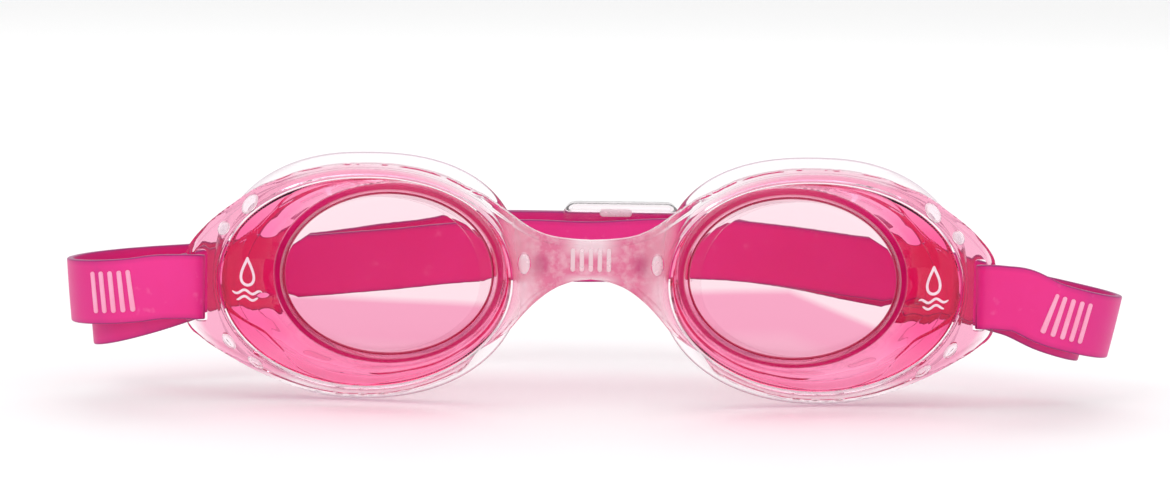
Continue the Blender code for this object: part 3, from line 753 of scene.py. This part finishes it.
def index_past(path, x):
    """First index at which the path is x or more away from the middle plane."""
    return int(np.argmax(np.abs(path[:, 0]) >= x))


def blend(obj, bodies, sign, start_x, end_x, y):
    """Bake the object's transform into its mesh; the bodies, sign, start_x, end_x and y are not
    used.
    """
    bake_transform(obj)


def outer_band(side, sign):
    """Front leg with its grip bars, then the outer run round the fold to the clip."""
    band = make_band(np.array(outer_path(side)) * (sign, 1, 1))
    split = index_past(band.path, FRONT_SPLIT)
    leg = band_piece(f"strap_front_{side}", band, 0, split + 1)
    back = band_piece(f"strap_outer_run_{side}", band, split, len(band.path))
    start = arc_length(band.path)[index_past(band.path, GRIP_START)]
    bars = [grip_bar(f"grip_bar_{side}_{k + 1}", band, sign, start + GRIP_PITCH * k)
            for k in range(GRIP_COUNT)]
    leg_blend = dict(bodies=("frame", "outer_band"), sign=sign,
                     start_x=0.0765, end_x=0.0905, y=0.006)
    blend(leg, **leg_blend)
    for bar in bars:
        blend(bar, **leg_blend)
    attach(back, "outer_band")
    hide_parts(f"strap_loop_{side}")
    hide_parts(f"strap_outer_{side}")


def inner_band():
    """From the right slot, round both folds and across the back, to the left slot."""
    band = make_band(inner_half("right") + [INNER_CENTRE] + mirrored(inner_half("left"))[::-1])
    count = len(band.path)
    right_leg, right_turn = (index_past(band.path, x) for x in (REAR_SPLIT, TURN_SPLIT))
    left_leg, left_turn = (count - 1 - index_past(band.path[::-1], x)
                           for x in (REAR_SPLIT, TURN_SPLIT))
    for side, leg_range, turn_range in (
            ("right", (0, right_leg + 1), (right_leg, right_turn + 1)),
            ("left", (left_leg, count), (left_turn, left_leg + 1))):
        leg = band_piece(f"strap_rear_leg_{side}", band, *leg_range)
        turn = band_piece(f"strap_rear_turn_{side}", band, *turn_range)
        sign = SIDES[side]
        blend(leg, ("frame", "outer_band"), sign, start_x=0.0765, end_x=0.0833, y=0.01)
        blend(turn, ("outer_band", "inner_band"), sign, start_x=0.0839, end_x=0.0902, y=0.01)
    run = band_piece("strap_inner_run", band, right_turn, left_turn + 1)
    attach(run, "inner_band")
    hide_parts("strap_inner_band")


# ------------------------------------------------------------------ lens
# moulded step on the flank: degrees from the temple, share of the way out from the window
STEP_EDGE = ((0, 1.06), (12, 1.0), (20, 0.86), (33, 0.62), (45, 0.66), (58, 0.86), (75, 0.95),
             (90, 0.93), (105, 0.79), (125, 0.80), (145, 0.88), (165, 1.0), (180, 1.06))
FACETS, FACET_DEPTH, STEP_DEPTH = 14, 0.42, 0.42
FLANK_START, FLANK_FULL, FLANK_POWER = 0.17, 0.72, 1.75
WINDOW_GROWS = (-6.0, -3.0, -1.6, -1.15)
# rings of the short step behind the window's edge: growth, depth
WINDOW_STEP = ((-0.32, 0.9), (-0.25, 1.3))
# rings of the window's rear face: growth, depth, ring tint
WINDOW_REAR = ((-1.2, 2.15, 1.0), (-1.32, 1.9, 1.0), (-1.6, 1.8, 0.0), (-3.0, 1.8, 0.0),
               (-6.0, 1.8, 0.0))


def step_edge(t):
    """Where the moulded step runs across the flank, as a share of the way out."""
    degrees = np.abs((np.degrees(t) + 180) % 360 - 180)
    fine = np.linspace(0, 180, 361)
    edge = np.interp(fine, *zip(*STEP_EDGE))
    for _ in range(24):
        edge[1:-1] = 0.25 * edge[:-2] + 0.5 * edge[1:-1] + 0.25 * edge[2:]
    return np.interp(degrees, fine, edge)


def facet(t):
    """Shallow planes round the flank: 0 on a ridge line, 1 in the middle of a plane."""
    return 1 - np.abs(((t / (2 * math.pi) * FACETS + 0.5) % 1.0) * 2 - 1)


def flank_base(share, t):
    """Smooth flank, from share 0 at the window to 1 at the flange: (x, z) points and y."""
    flat = (1 - share) * oval_at(WINDOW, t) + share * oval_at(FLANGE, t)
    curve = 1 - (1 - min(share / FLANK_FULL, 1.0)) ** FLANK_POWER
    rise = FLANK_START + (1 - FLANK_START) * curve
    y = (1 - rise) * window_y(flat[:, 0]) + rise * flange_y(flat[:, 0], flat[:, 1])
    return flat, y


def flank_front(share, t):
    """The flank's front, with its facets and moulded step."""
    flat, y = flank_base(share, t)
    faceted = math.sin(math.pi * min(max((share - 0.02) / 0.62, 0), 1))
    before_step = 1 - ease(share - step_edge(t), -0.018, 0.018)
    return flat, (y + FACET_DEPTH * faceted * facet(t)
                  - STEP_DEPTH * before_step * ease(share, 0.2, 0.5))


def lens_piece(name, side, count=280):
    t = even_t(FLANGE, count)
    gap = np.linalg.norm(oval_at(FLANGE, t) - oval_at(WINDOW, t), axis=1)
    rings, flank, tint = [], [], []

    def put(flat, y, flank_value, tint_value=0.0):
        rings.append(ring_at(flat, y))
        flank.append(np.full(count, flank_value))
        tint.append(np.full(count, tint_value))

    def put_window(grow, depth, flank_value, tint_value=0.0):
        flat = oval_at(WINDOW, t, grow)
        put(flat, window_y(flat[:, 0]) + depth, flank_value, tint_value)

    # flat window, its rounded edge and the short step behind it
    for grow in WINDOW_GROWS:
        put_window(grow, 0.0, 0.0)
    for share in np.linspace(0.12, 1, 7):
        angle = share * math.pi / 2
        put_window(-0.95 + 0.55 * math.sin(angle), 0.55 * (1 - math.cos(angle)), 0.0,
                   min(1.0, 1.6 * share))
    for grow, depth in WINDOW_STEP:
        put_window(grow, depth, 0.35, 1.0)
    # flank, from the step to the flange
    for share in np.concatenate([np.linspace(0.015, 0.5, 26), np.linspace(0.515, 0.985, 40)]):
        flat, y = flank_front(share, t)
        put(flat, y, min(1.0, 0.55 + 1.4 * share), np.clip((0.95 - share * gap) / 0.35, 0, 1))
    # flange edge, rounded
    for angle in np.linspace(0, 1, 7) * math.pi:
        flat = oval_at(FLANGE, t, -0.45 + 0.45 * math.sin(angle))
        put(flat, flange_y(flat[:, 0], flat[:, 1]) + 0.7 - 0.7 * math.cos(angle), 1.0)
    # rear face, back in to the window
    middle = np.array([WINDOW.x + 3, WINDOW.z - 1])
    for share in np.linspace(0.93, 0.05, 26):
        flat, y = flank_base(share, t)
        wall = 1.35 * (1 - ease(share, 0.7, 0.93)) + 0.2
        put(pulled_in(flat, middle, wall), y + 1.4, 1.0, max(0.0, 1.0 - share / 0.16))
    for grow, depth, tint_value in WINDOW_REAR:
        put_window(grow, depth, 0.0, tint_value)
    # towards the temple, but fading towards the top and the bottom
    outer = [ease(r[:, 0], 44.0, 64.0) * (1 - 0.75 * ease(np.abs(r[:, 2] + 4.0), 8.0, 17.0))
             for r in rings]
    return ring_solid(name, rings, side, material=LENS,
                      values={"flank": flank, "ring": tint, "outer": outer})


# ------------------------------------------------------------------ gasket
# Section round the gasket's wall: oval, growth, share of the way from the flange surface to
# the face surface, offset from the flange surface, offset from the face surface.
GASKET_SECTION = (
    (FLANGE, -2.6, 0.0, 2.35, 0.0),
    (FLANGE, -2.6, 0.0, 2.35, 0.0),
    (GASKET_FRONT, -1.4, 0.0, 2.35, 0.0),
    (GASKET_FRONT, 0.0, 0.0, 2.4, 0.0),
    (GASKET_FRONT, 0.0, 0.0, 2.4, 0.0),
    (GASKET_FRONT, 0.5, 0.0, 2.9, 0.0),
    (GASKET_WIDE, -0.2, 0.3, 2.3, -1.0),
    (GASKET_WIDE, 0.25, 0.5, 2.3, -1.0),
    (GASKET_WIDE, 0.25, 0.7, 2.3, -1.0),
    (GASKET_WIDE, 0.0, 0.9, 2.3, -0.6),
    (GASKET_WIDE, -0.5, 1.0, 0.0, -0.3),
    (GASKET_WIDE, -1.7, 1.0, 0.0, 0.35),
    (GASKET_WIDE, -4.2, 1.0, 0.0, 0.15),
    (GASKET_LIP, 0.0, 1.0, 0.0, -0.55),
    (GASKET_LIP, 0.0, 1.0, 0.0, -0.8),
    (GASKET_LIP, 0.0, 1.0, 0.0, -1.5),
    (GASKET_LIP, 0.0, 1.0, 0.0, -1.6),
    (GASKET_WIDE, -3.6, 1.0, 0.0, -1.4),
    (GASKET_WIDE, -2.4, 1.0, 0.0, -1.9),
    (GASKET_WIDE, -1.9, 0.6, 2.3, -1.8),
    (GASKET_WIDE, -1.95, 0.35, 2.3, -1.8),
    (FLANGE, -1.2, 0.0, 4.3, 0.0),
    (FLANGE, -2.6, 0.0, 3.8, 0.0),
    (FLANGE, -2.6, 0.0, 3.6, 0.0),
)


def gasket_piece(name, side, count=240):
    t = even_t(GASKET_WIDE, count)
    keys = []
    for oval, grow, share, flange_offset, face_offset in GASKET_SECTION:
        flat = oval_at(oval, t, grow)
        x, z = flat.T
        keys.append(ring_at(flat, (1 - share) * (flange_y(x, z) + flange_offset)
                            + share * (face_y(x, z) + face_offset)))
    rings = bspline_rings(keys, per=4)
    # mark the widest rings as a line: painted shade where the silhouette refracts the darker
    # surroundings
    radius = np.array([np.mean(np.hypot(r[:, 0] - GASKET_WIDE.x, r[:, 2] - GASKET_WIDE.z))
                       for r in rings])
    line = ease(radius, radius.max() - 0.22, radius.max() - 0.05)
    return ring_solid(name, rings, side, closed=True, material=GASKET,
                      values={"line": np.repeat(line, count)})


# ------------------------------------------------------------------ front frame
# Outer edge of the frame's right half as (x, z); arcs of the rim come between the three parts.
NOSE_TOP = ((0.0, 4.5), (3.5, 4.65), (7.0, 5.1), (9.8, 6.0), (12.3, 7.35), (14.6, 9.0),
            (17.0, 10.7), (19.4, 12.3))
ARM = ((61.8, 12.9), (65.9, 10.1), (70.1, 6.8), (72.3, 4.6), (73.8, 2.8), (74.65, 1.3),
       (75.0, -0.6), (75.0, -5.6), (75.0, -10.8), (74.65, -12.7), (73.7, -14.1),
       (72.2, -15.2), (69.9, -16.7), (65.9, -18.9), (62.0, -20.9))
NOSE_BOTTOM = ((20.6, -16.3), (17.6, -14.3), (14.6, -11.9), (12.3, -9.2), (9.8, -6.7),
               (7.0, -4.6), (3.5, -3.1), (0.0, -2.6))
RIM_TOP_ARC, RIM_BOTTOM_ARC, RIM_STEP = (131, 55), (-60, -136), -7.0

FRAME_CENTRE = np.array([42.0, -4.0])
EDGE_POINTS, MIDDLE_POINTS = 430, 19
# distances of the rings near the opening and near the outer edge, from that edge
OPENING_RINGS = (0.0, 0.06, 0.18, 0.34, 0.55, 0.8)
EDGE_RINGS = (1.75, 1.5, 1.3, 1.12, 0.95, 0.78, 0.6, 0.42, 0.26, 0.13, 0.04, 0.0)
FULL_WIDTH = 3.4            # narrower parts of the frame squeeze their edge rings
EDGE_ROUND, OPENING_ROUND = 0.55, 0.4
EDGE_LIP, OPENING_LIP = 0.26, 0.12

# oval pegs: centre, half length, half width, turn in degrees
Peg = namedtuple("Peg", "x z length width angle")
PEGS = {
    "upper_big": Peg(62.9, 9.95, 2.0, 1.0, 125.0),
    "upper_small": Peg(67.8, 5.3, 1.3, 0.9, 125.0),
    "lower_small": Peg(66.8, -15.8, 1.6, 0.8, 50.0),
    "lower_big": Peg(61.8, -19.6, 1.6, 0.6, 36.0),
    "nose": Peg(12.2, 0.1, 1.9, 1.1, 90.0),
}
PEG_POINTS, PEG_GAP = 48, 0.12
# peg rings: growth, frame surface (0 front, 1 back), offset from that surface, rim value
PEG_RINGS = ((-0.9, 0, -0.28, 0.0), (-0.5, 0, -0.26, 0.15), (-0.2, 0, -0.1, 1.0),
             (-0.02, 0, 0.15, 1.0), (-0.02, 0, 0.5, 0.3), (-0.02, 1, -0.3, 0.0),
             (-0.05, 1, -0.05, 0.0), (-0.35, 1, 0.03, 0.0))


def outline_right():
    """Outer edge of the right half, from the bridge's middle over the top and back below."""
    arcs = [oval_at(RIM, np.radians(np.arange(*arc, RIM_STEP)))
            for arc in (RIM_TOP_ARC, RIM_BOTTOM_ARC)]
    return catmull(np.vstack([NOSE_TOP, arcs[0], ARM, arcs[1], NOSE_BOTTOM]), 16)


def frame_front(x, z):
    """Front surface of the frame: rims stand proud, arms sink towards the slot bar."""
    nose = 0.05 * ease(x, 6, 12)
    y = nose + (flange_y(x, z) - 1.35 - nose) * ease(x, 9.0, 17.0)
    y = y + (brow_y(x) - 0.5 - y) * ease(x, 64.0, 69.5)
    return y + (BAR_FRONT - y) * ease(x, 70.5, 73.2)


def frame_back(x, z):
    nose = 2.6
    y = nose + (flange_y(x, z) + 1.95 - nose) * ease(x, 9.0, 17.0)
    y = y + (brow_y(x) + 1.9 - y) * ease(x, 62.0, 68.0)
    return y + (BAR_BACK - y) * ease(x, 70.0, 72.8)


def round_off(distance, radius):
    """Drop of a rounded edge at a distance from that edge."""
    height = np.sqrt(np.clip(radius * radius - (radius - distance) ** 2, 0, None))
    return np.where(distance < radius, radius - height, 0.0)


def opening_radius(angles):
    """Distance from the frame's centre to its lens opening, in the given directions."""
    spokes = oval_at(FLANGE, np.linspace(0, 2 * math.pi, 2881)[:-1], OPENING_GAP) - FRAME_CENTRE
    around = np.unwrap(np.arctan2(spokes[:, 1], spokes[:, 0]))
    order = np.argsort(around)
    around, radius = around[order], np.linalg.norm(spokes, axis=1)[order]
    angles = (angles - around[0]) % (2 * math.pi) + around[0]
    return np.interp(angles, np.append(around, around[0] + 2 * math.pi),
                     np.append(radius, radius[0]))


def frame_half():
    """Rings of the right half: out over the front, then back in behind."""
    dense = outline_right()
    curve = resample(dense, EDGE_POINTS)
    middle_z = np.linspace(curve[-1, 1], curve[0, 1], MIDDLE_POINTS)
    middle = np.stack([np.zeros(MIDDLE_POINTS), middle_z], axis=1)[1:-1]
    outer = np.vstack([curve, middle])
    on_middle = np.arange(len(outer)) >= len(curve)
    on_middle[[0, len(curve) - 1]] = True
    angles = np.arctan2(outer[:, 1] - FRAME_CENTRE[1], outer[:, 0] - FRAME_CENTRE[0])
    radius = opening_radius(angles)
    angles = angles % (2 * math.pi)
    unit = np.stack([np.cos(angles), np.sin(angles)], axis=1)
    inner = FRAME_CENTRE + unit * radius[:, None]
    length = np.linalg.norm(outer - inner, axis=1)
    squeeze = np.minimum(1.0, length / FULL_WIDTH)

    start = OPENING_RINGS[-1] * squeeze
    end = length - EDGE_RINGS[0] * squeeze
    distances = [v * squeeze for v in OPENING_RINGS]
    distances += [start + (end - start) * share for share in np.linspace(0, 1, 30)[1:-1]]
    distances += [length - v * squeeze for v in EDGE_RINGS]
    fronts, backs = [], []
    for distance in distances:
        flat = inner + unit * distance[:, None]
        flat[on_middle, 0] = np.maximum(flat[on_middle, 0], 0.0)
        to_opening = distance / squeeze
        to_edge = np.min([np.linalg.norm(flat - p, axis=1) for p in dense[::2]],
                         axis=0) / squeeze
        drop = round_off(to_edge, EDGE_ROUND)
        opening_drop = round_off(to_opening, OPENING_ROUND)
        lip = EDGE_LIP * ease(to_edge, 1.35, 1.0)
        opening_lip = OPENING_LIP * (1 - ease(to_opening, 0.6, 0.9))
        x, z = flat.T
        fronts.append(ring_at(flat, frame_front(x, z) + drop + opening_drop + EDGE_LIP
                              - lip - opening_lip))
        backs.append(ring_at(flat, frame_back(x, z) - 0.9 * drop - opening_drop))
    return np.array(fronts + backs[::-1])


def peg_oval(peg, grow):
    t = np.arange(PEG_POINTS) * 2 * math.pi / PEG_POINTS
    return turned((peg.length + grow) * np.cos(t), (peg.width + grow) * np.sin(t),
                  peg.angle, peg.x, peg.z)


def frame_piece():
    """Both halves joined along the middle plane, with the slots and peg holes cut out."""
    rings = frame_half()
    count, size = rings.shape[:2]
    on_middle = np.abs(rings[..., 0]) < 1e-6
    ids = np.arange(count * size).reshape(count, size)
    other = np.where(on_middle, ids, ids + count * size)
    faces = []
    for grid, order in ((ids, 1), (other, -1)):
        for i in range(count):
            below = (i + 1) % count
            for j in range(size):
                k = (j + 1) % size
                corners = ((i, j), (i, k), (below, k), (below, j))
                # faces that would lie in the middle plane are left out
                if not all(on_middle[c] for c in corners):
                    faces.append([grid[c] for c in corners][::order])
    points = rings.reshape(-1, 3)
    obj = solid("clear_frame", np.vstack([points, points * (-1, 1, 1)]), faces, weld=True)
    slot = rounded_rect((SLOT_X + BAR_X) / 2, AXIS_Z, BAR_X - SLOT_X, SLOT_HEIGHT, SLOT_CORNER)
    cutters = []
    for sign in SIDES.values():
        cutters.append(prism("slot_cut", slot, 2, 16, sign))
        for peg in PEGS.values():
            cutters.append(prism("peg_cut", peg_oval(peg, PEG_GAP), -6, 18, sign))
    cut(obj, cutters, CLEAR, sharp_degrees=50)
    return obj


def peg_piece(name, label, side):
    peg = PEGS[label]
    surfaces = (frame_front(peg.x, peg.z), frame_back(peg.x, peg.z))
    rings = [ring_at(peg_oval(peg, grow), surfaces[surface] + offset)
             for grow, surface, offset, _ in PEG_RINGS]
    rim = np.repeat([row[-1] for row in PEG_RINGS], PEG_POINTS)
    return ring_solid(name, rings, side, values={"rim": rim},
                      material=FROSTED if label == "nose" else PEG_CLEAR)


# ------------------------------------------------------------------ raised pads
RIB_COUNT, RIB_PITCH = 5, 1.65
RIB_RINGS = ((0.0, 0.5), (0.0, 0.12), (0.05, 0.0), (0.16, -0.07), (0.3, -0.1))   # inset, y


def raised_pad(name, outline, rings, body):
    """A low frosted pad; its rings are (inset, y) from its root to its top."""
    middle = outline.mean(axis=0)
    obj = ring_solid(name, [ring_at(pulled_in(outline, middle, inset), y) for inset, y in rings],
                     material=FROSTED)
    sharpen(obj, 60)
    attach(obj, body)


def bridge_ribs():
    for k in range(RIB_COUNT):
        x = (k - (RIB_COUNT - 1) / 2) * RIB_PITCH
        raised_pad(f"bridge_rib_{k + 1}", rounded_rect(x, 0.95, 0.85, 4.3, 0.4), RIB_RINGS,
                   "frame")


# ------------------------------------------------------------------ print on the lens flank
PRINT_X, PRINT_Z = 63.3, -3.6
DROP_HALF, RIPPLE_HALF = 0.26, 0.24          # half widths of the lines
RIPPLES = ((-2.75, 1.0), (-3.95, 0.72))      # z, share of the full width
# section of a printed line: share of its half width, depth from the flank
STROKE_SECTION = ((-1.0, 0.10), (-1.0, -0.05), (-0.7, -0.10), (0.0, -0.12), (0.7, -0.10),
                  (1.0, -0.05), (1.0, 0.10), (0.0, 0.14))


def flank_net():
    """A fine net of (x, z) points over the lens flank's front, and their y."""
    t = even_t(FLANGE, 720)
    rows = [flank_front(share, t) for share in np.linspace(0.02, 0.98, 70)]
    return np.concatenate([flat for flat, _ in rows]), np.concatenate([y for _, y in rows])


def flank_depth(flat, net):
    """Depth of the flank's front at each point, from the six nearest points of the net."""
    net_flat, net_y = net
    out = []
    for point in flat:
        squared = np.sum((net_flat - point) ** 2, axis=1)
        near = np.argpartition(squared, 6)[:6]
        weight = 1 / (squared[near] + 1e-4)
        out.append((net_y[near] * weight).sum() / weight.sum())
    return np.array(out)


def stroke(name, path, half, closed, side, net):
    """A thin printed line laid on the lens flank; open lines taper at their ends."""
    taper = np.ones(len(path))
    if closed:
        along = np.roll(path, -1, axis=0) - np.roll(path, 1, axis=0)
    else:
        along = np.gradient(path, axis=0)
        share = np.linspace(0, 1, len(path))
        taper = np.sqrt(np.clip(1 - (2 * share - 1) ** 6, 0.05, 1))
    along /= np.linalg.norm(along, axis=1)[:, None]
    across = np.stack([-along[:, 1], along[:, 0]], axis=1)
    rows = []
    for reach, depth in STROKE_SECTION:
        flat = path + across * (reach * half * taper)[:, None]
        rows.append(ring_at(flat, flank_depth(flat, net) + depth))
    rows = np.array(rows)
    obj = ring_solid(name, rows if closed else rows.transpose(1, 0, 2), side, closed=closed,
                     material=PRINT)
    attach(obj, "frame")


def print_paths():
    """A water drop over two ripples: path, half width, closed."""
    a = np.linspace(0, 2 * math.pi, 73)[:-1]
    drop = np.stack([1.75 * np.sin(a) * np.sin(a / 2) ** 1.4, 2.5 * np.cos(a)], axis=1)
    paths = [(drop + (0, 1.0), DROP_HALF, True)]
    for z, share in RIPPLES:
        x = np.linspace(-2.9, 2.9, 41) * share
        ripple = np.stack([x, z + 0.34 * np.sin(x * 2.1 + 0.4)], axis=1)
        paths.append((ripple, RIPPLE_HALF, False))
    return paths


def lens_prints():
    net = flank_net()
    for side, sign in SIDES.items():
        for k, (path, half, closed) in enumerate(print_paths()):
            stroke(f"lens_print_{side}_{k + 1}", path + (PRINT_X, PRINT_Z), half, closed, sign,
                   net)


# ------------------------------------------------------------------ clip
CLIP_WINDOWS = ((-9.2, 0.5), (2.0, 9.2))     # x range of each opening, from CLIP_X
CLIP_WINDOW_HEIGHT, CLIP_WINDOW_CORNER = 9.2, 1.2
CHANNEL_GAP, CHANNEL_HALF_LENGTH = 0.3, 20
# pads on the clip's front face: name, x from CLIP_X, z from BACK_Z, width, height, corner
# radius, inset of the upper two rings
CLIP_PADS = (("clip_pad", -1.1, 6.1, 6.4, 1.5, 0.7, (0.08, 0.25)),
             ("clip_stud", 1.25, 3.6, 1.1, 2.4, 0.5, (0.06, 0.2)))


def clip_pads():
    for name, x, z, width, height, corner, (shoulder, top) in CLIP_PADS:
        rings = ((0.0, CLIP_FRONT + 0.3), (0.0, CLIP_FRONT - 0.12),
                 (shoulder, CLIP_FRONT - 0.26), (top, CLIP_FRONT - 0.32))
        raised_pad(name, rounded_rect(CLIP_X + x, BACK_Z + z, width, height, corner), rings,
                   "clip")


def clip_piece():
    """Rounded block with a channel for both tails and two openings in its front wall."""
    turns = np.linspace(0, 1, 6)
    rings = []
    for face, inward, shares in ((CLIP_FRONT, 1, turns), (CLIP_BACK, -1, turns[::-1])):
        for angle in shares * math.pi / 2:
            inset = CLIP_ROUND * (1 - math.sin(angle))
            outline = rounded_rect(CLIP_X, BACK_Z, CLIP_WIDTH - 2 * inset,
                                   CLIP_HEIGHT - 2 * inset, CLIP_CORNER - inset, 10)
            rings.append(ring_at(outline, face + inward * CLIP_ROUND * (1 - math.cos(angle))))
    body = ring_solid("back_clip", rings, material=CLIP)

    y0 = OUTER_Y - STRAP_THICK / 2 - CHANNEL_GAP
    y1 = OUTER_Y + TAIL_STEP + STRAP_THICK / 2 + CHANNEL_GAP
    section = rounded_rect((y0 + y1) / 2, BACK_Z, y1 - y0, STRAP_WIDTH + 0.8, 0.4, 4)
    ends = (CLIP_X - CHANNEL_HALF_LENGTH, CLIP_X + CHANNEL_HALF_LENGTH)
    channel = [np.column_stack([np.full(len(section), x), section]) for x in ends]
    cutters = [ring_solid("chan", channel, smooth=False)]
    for x0, x1 in CLIP_WINDOWS:
        opening = rounded_rect(CLIP_X + (x0 + x1) / 2, BACK_Z, x1 - x0, CLIP_WINDOW_HEIGHT,
                               CLIP_WINDOW_CORNER)
        cutters.append(prism("win", opening, CLIP_FRONT - 2, OUTER_Y))
    cut(body, cutters, CLIP, sharp_degrees=40)
    return body


# ------------------------------------------------------------------ stage, light, camera
LAMP_AIM = Vector((0, 0.02, 0))
# area lamps: name, place, size, watts
LAMPS = (("key", (-0.5, -0.6, 0.75), (0.6, 0.4), 1.5),
         ("fill", (0.7, -0.5, 0.45), (0.5, 0.5), 0.75),
         ("back", (0.0, 0.8, 0.7), (0.9, 0.4), 1.5))
FLOOR_HALF, FLOOR_GAP = 3.0, 0.0006

# the camera stands in front of the goggles; distance and width seen at the aim are in mm
CAMERA_AIM = Vector((-0.0011, 0.0, 0.00285))
CAMERA_DISTANCE, VIEW_WIDTH, SENSOR_WIDTH = 650.0, 214.0, 36.0
CAMERA_RISE, CAMERA_ROLL = math.radians(7.0), math.radians(0.75)


def floor_piece():
    bm = bmesh.new()
    bmesh.ops.create_grid(bm, x_segments=8, y_segments=8, size=FLOOR_HALF)
    mesh = bpy.data.meshes.new("floor")
    bm.to_mesh(mesh)
    bm.free()
    floor = bpy.data.objects.new("floor", mesh)
    floor.location = (0, 0, CAD_LO.z - FLOOR_GAP)
    bpy.context.scene.collection.objects.link(floor)
    mesh.materials.append(floor_material())


def studio_world():
    """White to the camera; reflected and transmitted rays see it darker at both sides and
    behind the camera."""
    world = bpy.data.worlds.new("studio")
    bpy.context.scene.world = world
    nodes = Nodes(world, output="ShaderNodeOutputWorld")
    toward = nodes.axes("Generated")
    sides = nodes.ramp(nodes.maths("ABSOLUTE", toward["X"]), over=(0.6, 0.95), to=(1.0, 0.6),
                       easing="SMOOTHSTEP")
    behind = nodes.ramp(toward["Y"], over=(-0.75, -0.15), to=(0.6, 1.0), easing="SMOOTHSTEP")
    shaded = nodes.maths("MULTIPLY", sides, behind)
    path = nodes.add("ShaderNodeLightPath").outputs
    bent = nodes.maths("MAXIMUM", path["Is Glossy Ray"], path["Is Transmission Ray"])
    plain = 0.92
    # sockets 2 and 3 are the two values, and output 0 is their mix
    strength = nodes.add("ShaderNodeMix", {0: bent, 2: plain, 3: shaded}, data_type="FLOAT")
    white = nodes.add("ShaderNodeBackground", {"Color": (1.0, 1.0, 1.0),
                                               "Strength": strength.outputs[0]})
    nodes.finish(white.outputs[0])


def area_lamps():
    for name, place, size, watts in LAMPS:
        lamp = bpy.data.lights.new(name, "AREA")
        lamp.shape = "RECTANGLE"
        lamp.size, lamp.size_y = size
        lamp.energy = watts
        obj = bpy.data.objects.new(name, lamp)
        obj.location = place
        obj.rotation_mode = "QUATERNION"
        obj.rotation_quaternion = (LAMP_AIM - Vector(place)).to_track_quat("-Z", "Y")
        bpy.context.scene.collection.objects.link(obj)


def camera():
    back = Vector((0.0, -math.cos(CAMERA_RISE), math.sin(CAMERA_RISE)))
    data = bpy.data.cameras.new("camera")
    data.sensor_width = SENSOR_WIDTH
    data.lens = SENSOR_WIDTH * CAMERA_DISTANCE / VIEW_WIDTH
    data.clip_start, data.clip_end = 0.01, 20.0
    cam = bpy.data.objects.new("camera", data)
    cam.rotation_mode = "QUATERNION"
    roll = Matrix.Rotation(-CAMERA_ROLL, 4, -back).to_quaternion()
    cam.rotation_quaternion = roll @ (-back).to_track_quat("-Z", "Y")
    cam.location = CAMERA_AIM + back * (CAMERA_DISTANCE * MM)
    bpy.context.scene.collection.objects.link(cam)
    bpy.context.scene.camera = cam


def render_settings():
    scene = bpy.context.scene
    scene.view_settings.view_transform = "Standard"
    scene.view_settings.look = "None"
    scene.cycles.transmission_bounces = 16
    scene.cycles.transparent_max_bounces = 16
    scene.cycles.max_bounces = 20
    scene.cycles.caustics_refractive = True


# ------------------------------------------------------------------ assembly
def place(obj, body, replaced, slot):
    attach(obj, body)
    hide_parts(replaced)


for side, sign in SIDES.items():
    outer_band(side, sign)
inner_band()
for side, sign in SIDES.items():
    place(lens_piece(f"lens_cup_{side}", sign), "frame", f"lens_{side}", "pink_lens")
    place(gasket_piece(f"face_gasket_{side}", sign), "frame", f"gasket_{side}", "clear_gasket")
    for label in PEGS:
        place(peg_piece(f"key_peg_{label}_{side}", label, sign), "frame",
              f"peg_{label}_{side}", "clear_gasket")
place(frame_piece(), "frame", "front_frame", "clear_frame")
bridge_ribs()
lens_prints()
clip_pads()
place(clip_piece(), "clip", "clip_body", "clip")

floor_piece()
studio_world()
area_lamps()
camera()
render_settings()
